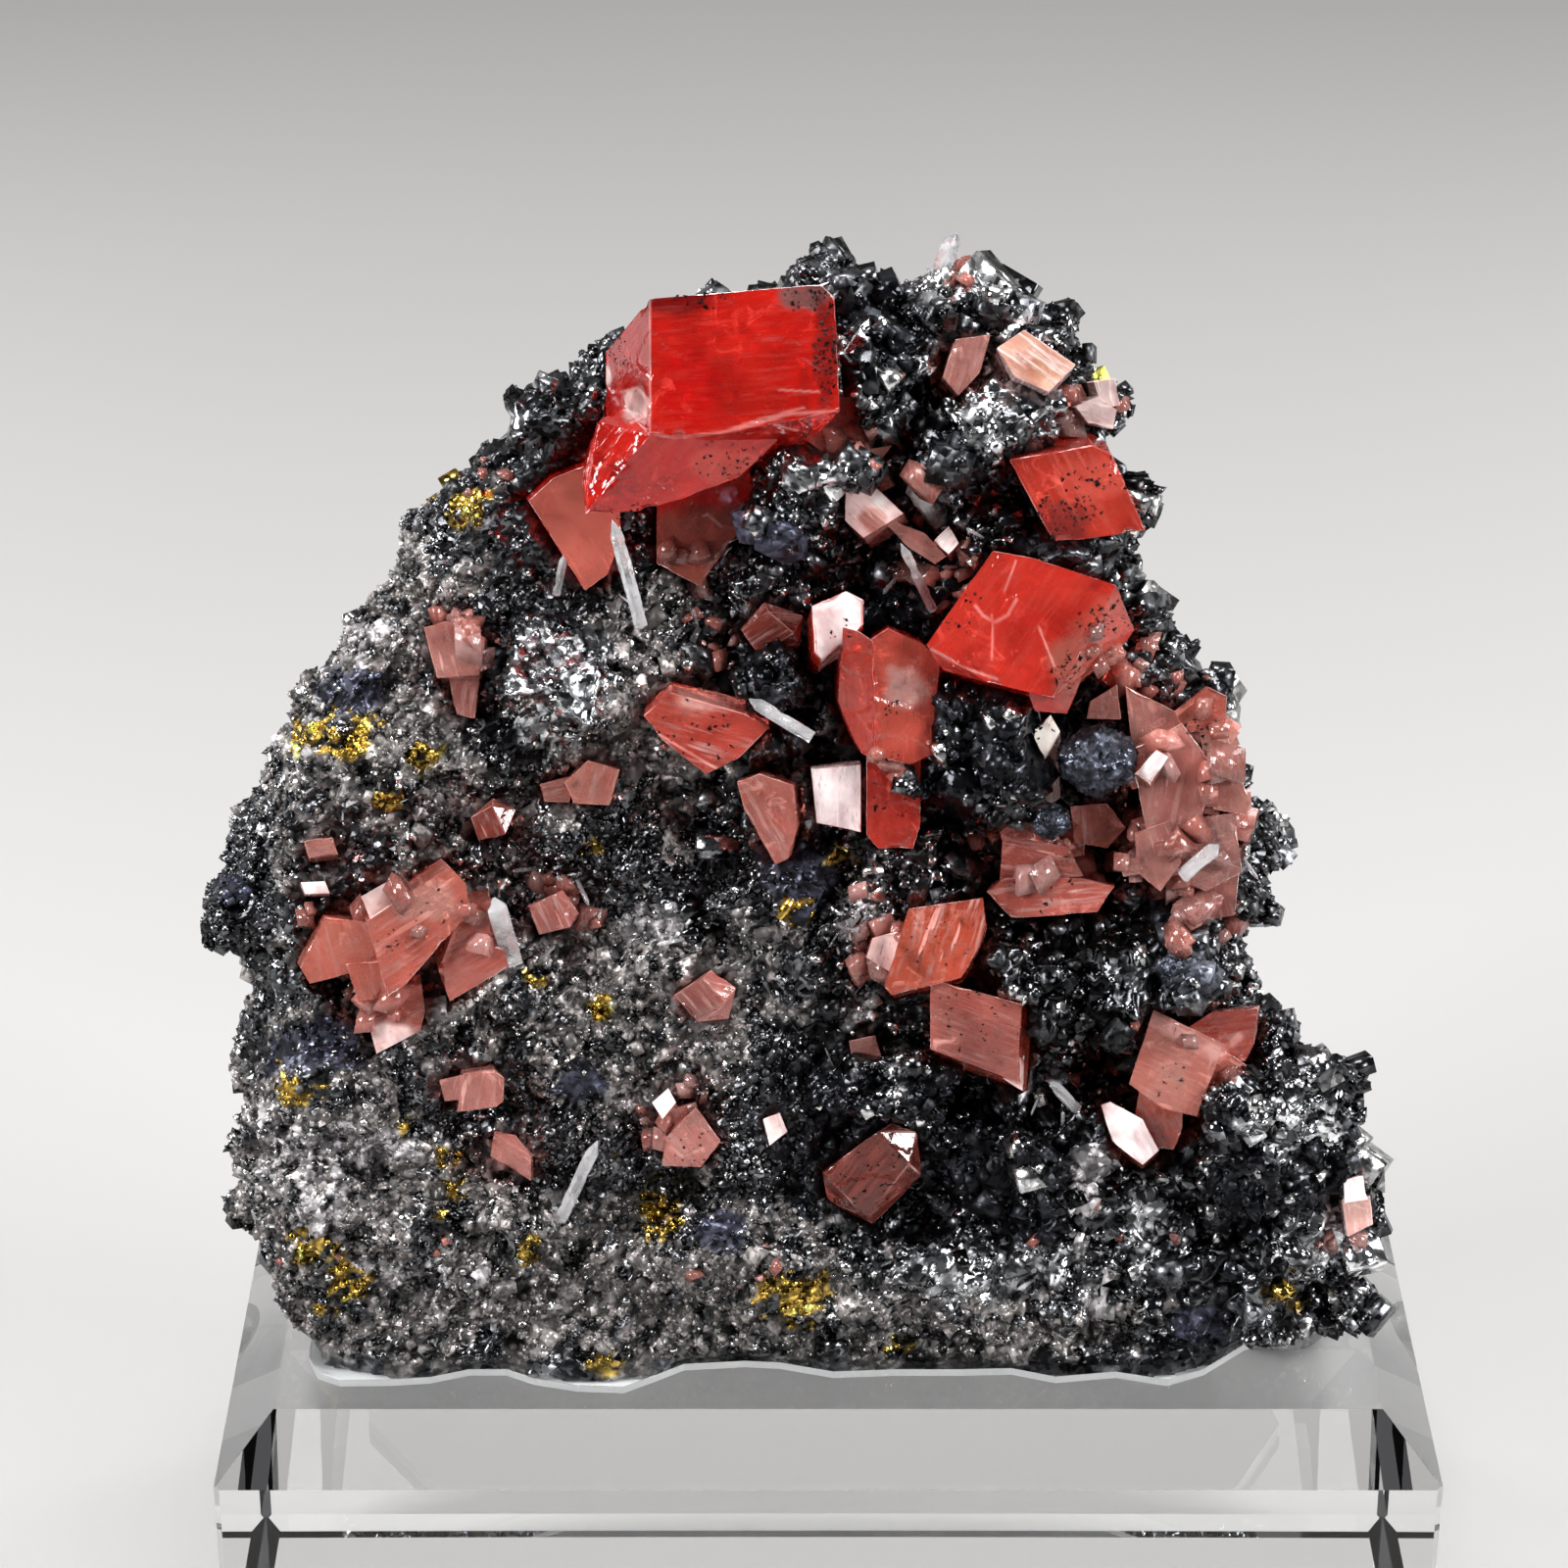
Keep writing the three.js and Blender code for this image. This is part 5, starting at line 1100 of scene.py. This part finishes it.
def build_knobs():
    model = bmesh.new()
    bmesh.ops.create_icosphere(model, subdivisions=5, radius=1.0)
    mesh = bpy.data.meshes.new("ball")
    model.to_mesh(mesh)
    model.free()
    ball, faces = mesh_arrays(mesh)
    bpy.data.meshes.remove(mesh)
    parts = []
    for index, (u, v, out, radius) in enumerate(KNOBS):
        lumpy = ball * (1 + 0.16 * layered(ball + index * 7, 0.8, 641, 3))[:, None] * (1.06, 0.9, 0.9)
        grain, _ = facets(lumpy * radius, 0.42, 0.16, 651)
        parts.append((seen(u, v, out) + lumpy * radius + ball * grain[:, None], faces))
    points, faces = joined(parts)
    tint = np.array([0.04, 0.044, 0.058]) * np.clip(1 + 0.8 * noise(points, 0.6, 661), 0.2, 2)[:, None]
    metal_piece("knobs", points, faces, tint, np.tile([0.8, 0.38, 0.5], (len(points), 1)))


build_specks()
build_knobs()
build_small_rhombs("small_rhombs", PINK_SPOTS, front_rock, 0.12, 71)
build_small_rhombs("rhombs_on_crystals", ON_CRYSTALS, crystal_surface, 0.05, 74)
build_small_needles()

# Bumper feet: round discs with a soft lower edge, a hair below the base
FOOT_TURNS = 48
# Share of the radius and of the height
FOOT_PROFILE = [(0.66, 0), (0.78, 0.03), (0.88, 0.1), (0.95, 0.22), (0.99, 0.42), (1, 0.6), (1, 0.93),
                (0.98, 0.98)]
foot_material = clouded_material("clear_bumper", (0.93, 0.95, 0.95, 1), 1.5, (220, 3),
                                (0.3, 0.7, 0.9, 0.75), (0.3, 0.7, 0.12, 0.3))


def build_foot(node):
    low, high = (np.array(corner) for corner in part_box(node))
    half = np.array([(high - low)[0] / 2, (high - low)[0] / 2, high[2] - low[2]])
    start = np.array([*(low + high)[:2] / 2, low[2]])
    turns = np.linspace(0, 2 * math.pi, FOOT_TURNS, endpoint=False)
    points = [(r * math.cos(turn), r * math.sin(turn), z) for r, z in FOOT_PROFILE for turn in turns]
    points += [(0, 0, 0), (0, 0, FOOT_PROFILE[-1][1])]
    faces, bottom = [], len(points) - 2
    last_ring = bottom - FOOT_TURNS
    for n in range(FOOT_TURNS):
        after = (n + 1) % FOOT_TURNS
        for ring in range(0, last_ring, FOOT_TURNS):
            a, b = ring + n, ring + after
            faces += [(a, b, b + FOOT_TURNS), (a, b + FOOT_TURNS, a + FOOT_TURNS)]
        faces += [(after, n, bottom), (last_ring + n, last_ring + after, bottom + 1)]
    mesh = new_mesh(node + "_disc", start + np.array(points) * half, np.array(faces), [node])
    mesh.shade_smooth()
    mesh.materials.append(foot_material)


for name in sorted(NODES):
    if name.startswith("bumper_foot"):
        build_foot(name)

# The base keeps its solid, with eased edges
base = NODES["acrylic_base"]
base.data.materials.clear()
base.data.materials.append(acrylic_material())
easing = base.modifiers.new("eased_edges", "BEVEL")
easing.width = 0.22 * MM
easing.segments = 2
easing.limit_method = "ANGLE"
easing.angle_limit = math.radians(35)


# Floor, light and camera
def plain_floor():
    far = 3.0
    mesh = bpy.data.meshes.new("floor")
    mesh.from_pydata([(-far, -far, 0), (far, -far, 0), (far, far, 0), (-far, far, 0)], [], [(0, 1, 2, 3)])
    shader = Shader("pale_floor")
    rough = shader.remap(shader.noise(3, 2), 0.3, 0.7, 0.6, 0.75)
    mesh.materials.append(shader.surface({"Base Color": (0.4, 0.395, 0.39, 1), "Roughness": rough}))
    floor = add_object("floor", mesh)


def soft_light(name, place_at, aim, size, power, colour=(1, 1, 1)):
    data = bpy.data.lights.new(name, "AREA")
    data.shape = "RECTANGLE"
    data.size, data.size_y = size
    data.energy = power
    data.color = colour
    light = add_object(name, data)
    light.location = place_at
    light.rotation_euler = (Vector(aim) - Vector(place_at)).to_track_quat("-Z", "Y").to_euler()


def photo_camera():
    data = bpy.data.cameras.new("camera")
    data.sensor_width = SENSOR
    data.lens = FOCAL_PIXELS / FRAME_PIXELS * SENSOR
    data.clip_start = 0.01
    camera = add_object("camera", data)
    camera.location = to_world(EYE)
    camera.rotation_euler = (math.pi / 2 - PITCH, 0, 0)
    bpy.context.scene.camera = camera


plain_floor()
photo_camera()
AIM = (0, 0, 0.1)
soft_light("key_left", (-0.5, -0.3, 0.42), AIM, (0.22, 0.3), 5.5)
soft_light("fill_right", (0.52, -0.25, 0.36), AIM, (0.2, 0.3), 5)
soft_light("top", (0.0, -0.05, 0.7), AIM, (0.35, 0.25), 4)
soft_light("back_panel", (0.0, 0.55, 0.95), (0, 0, 0.05), (1.7, 1.15), 3.2, (1.0, 0.97, 0.95))
soft_light("back_left", (-0.5, 0.35, 0.25), AIM, (0.2, 0.3), 1.6)
soft_light("back_right", (0.5, 0.35, 0.25), AIM, (0.2, 0.3), 1.6)

world = bpy.data.worlds.new("studio")
world.use_nodes = True
background = world.node_tree.nodes["Background"].inputs
background["Color"].default_value = (0.5, 0.5, 0.52, 1)
background["Strength"].default_value = 0.16
bpy.context.scene.world = world
bpy.context.scene.view_settings.view_transform = "Standard"
bpy.context.scene.cycles.use_denoising = True
bpy.context.scene.cycles.max_bounces = 6
bpy.context.scene.cycles.diffuse_bounces = 2
bpy.context.scene.cycles.glossy_bounces = 3
bpy.context.scene.cycles.transmission_bounces = 6
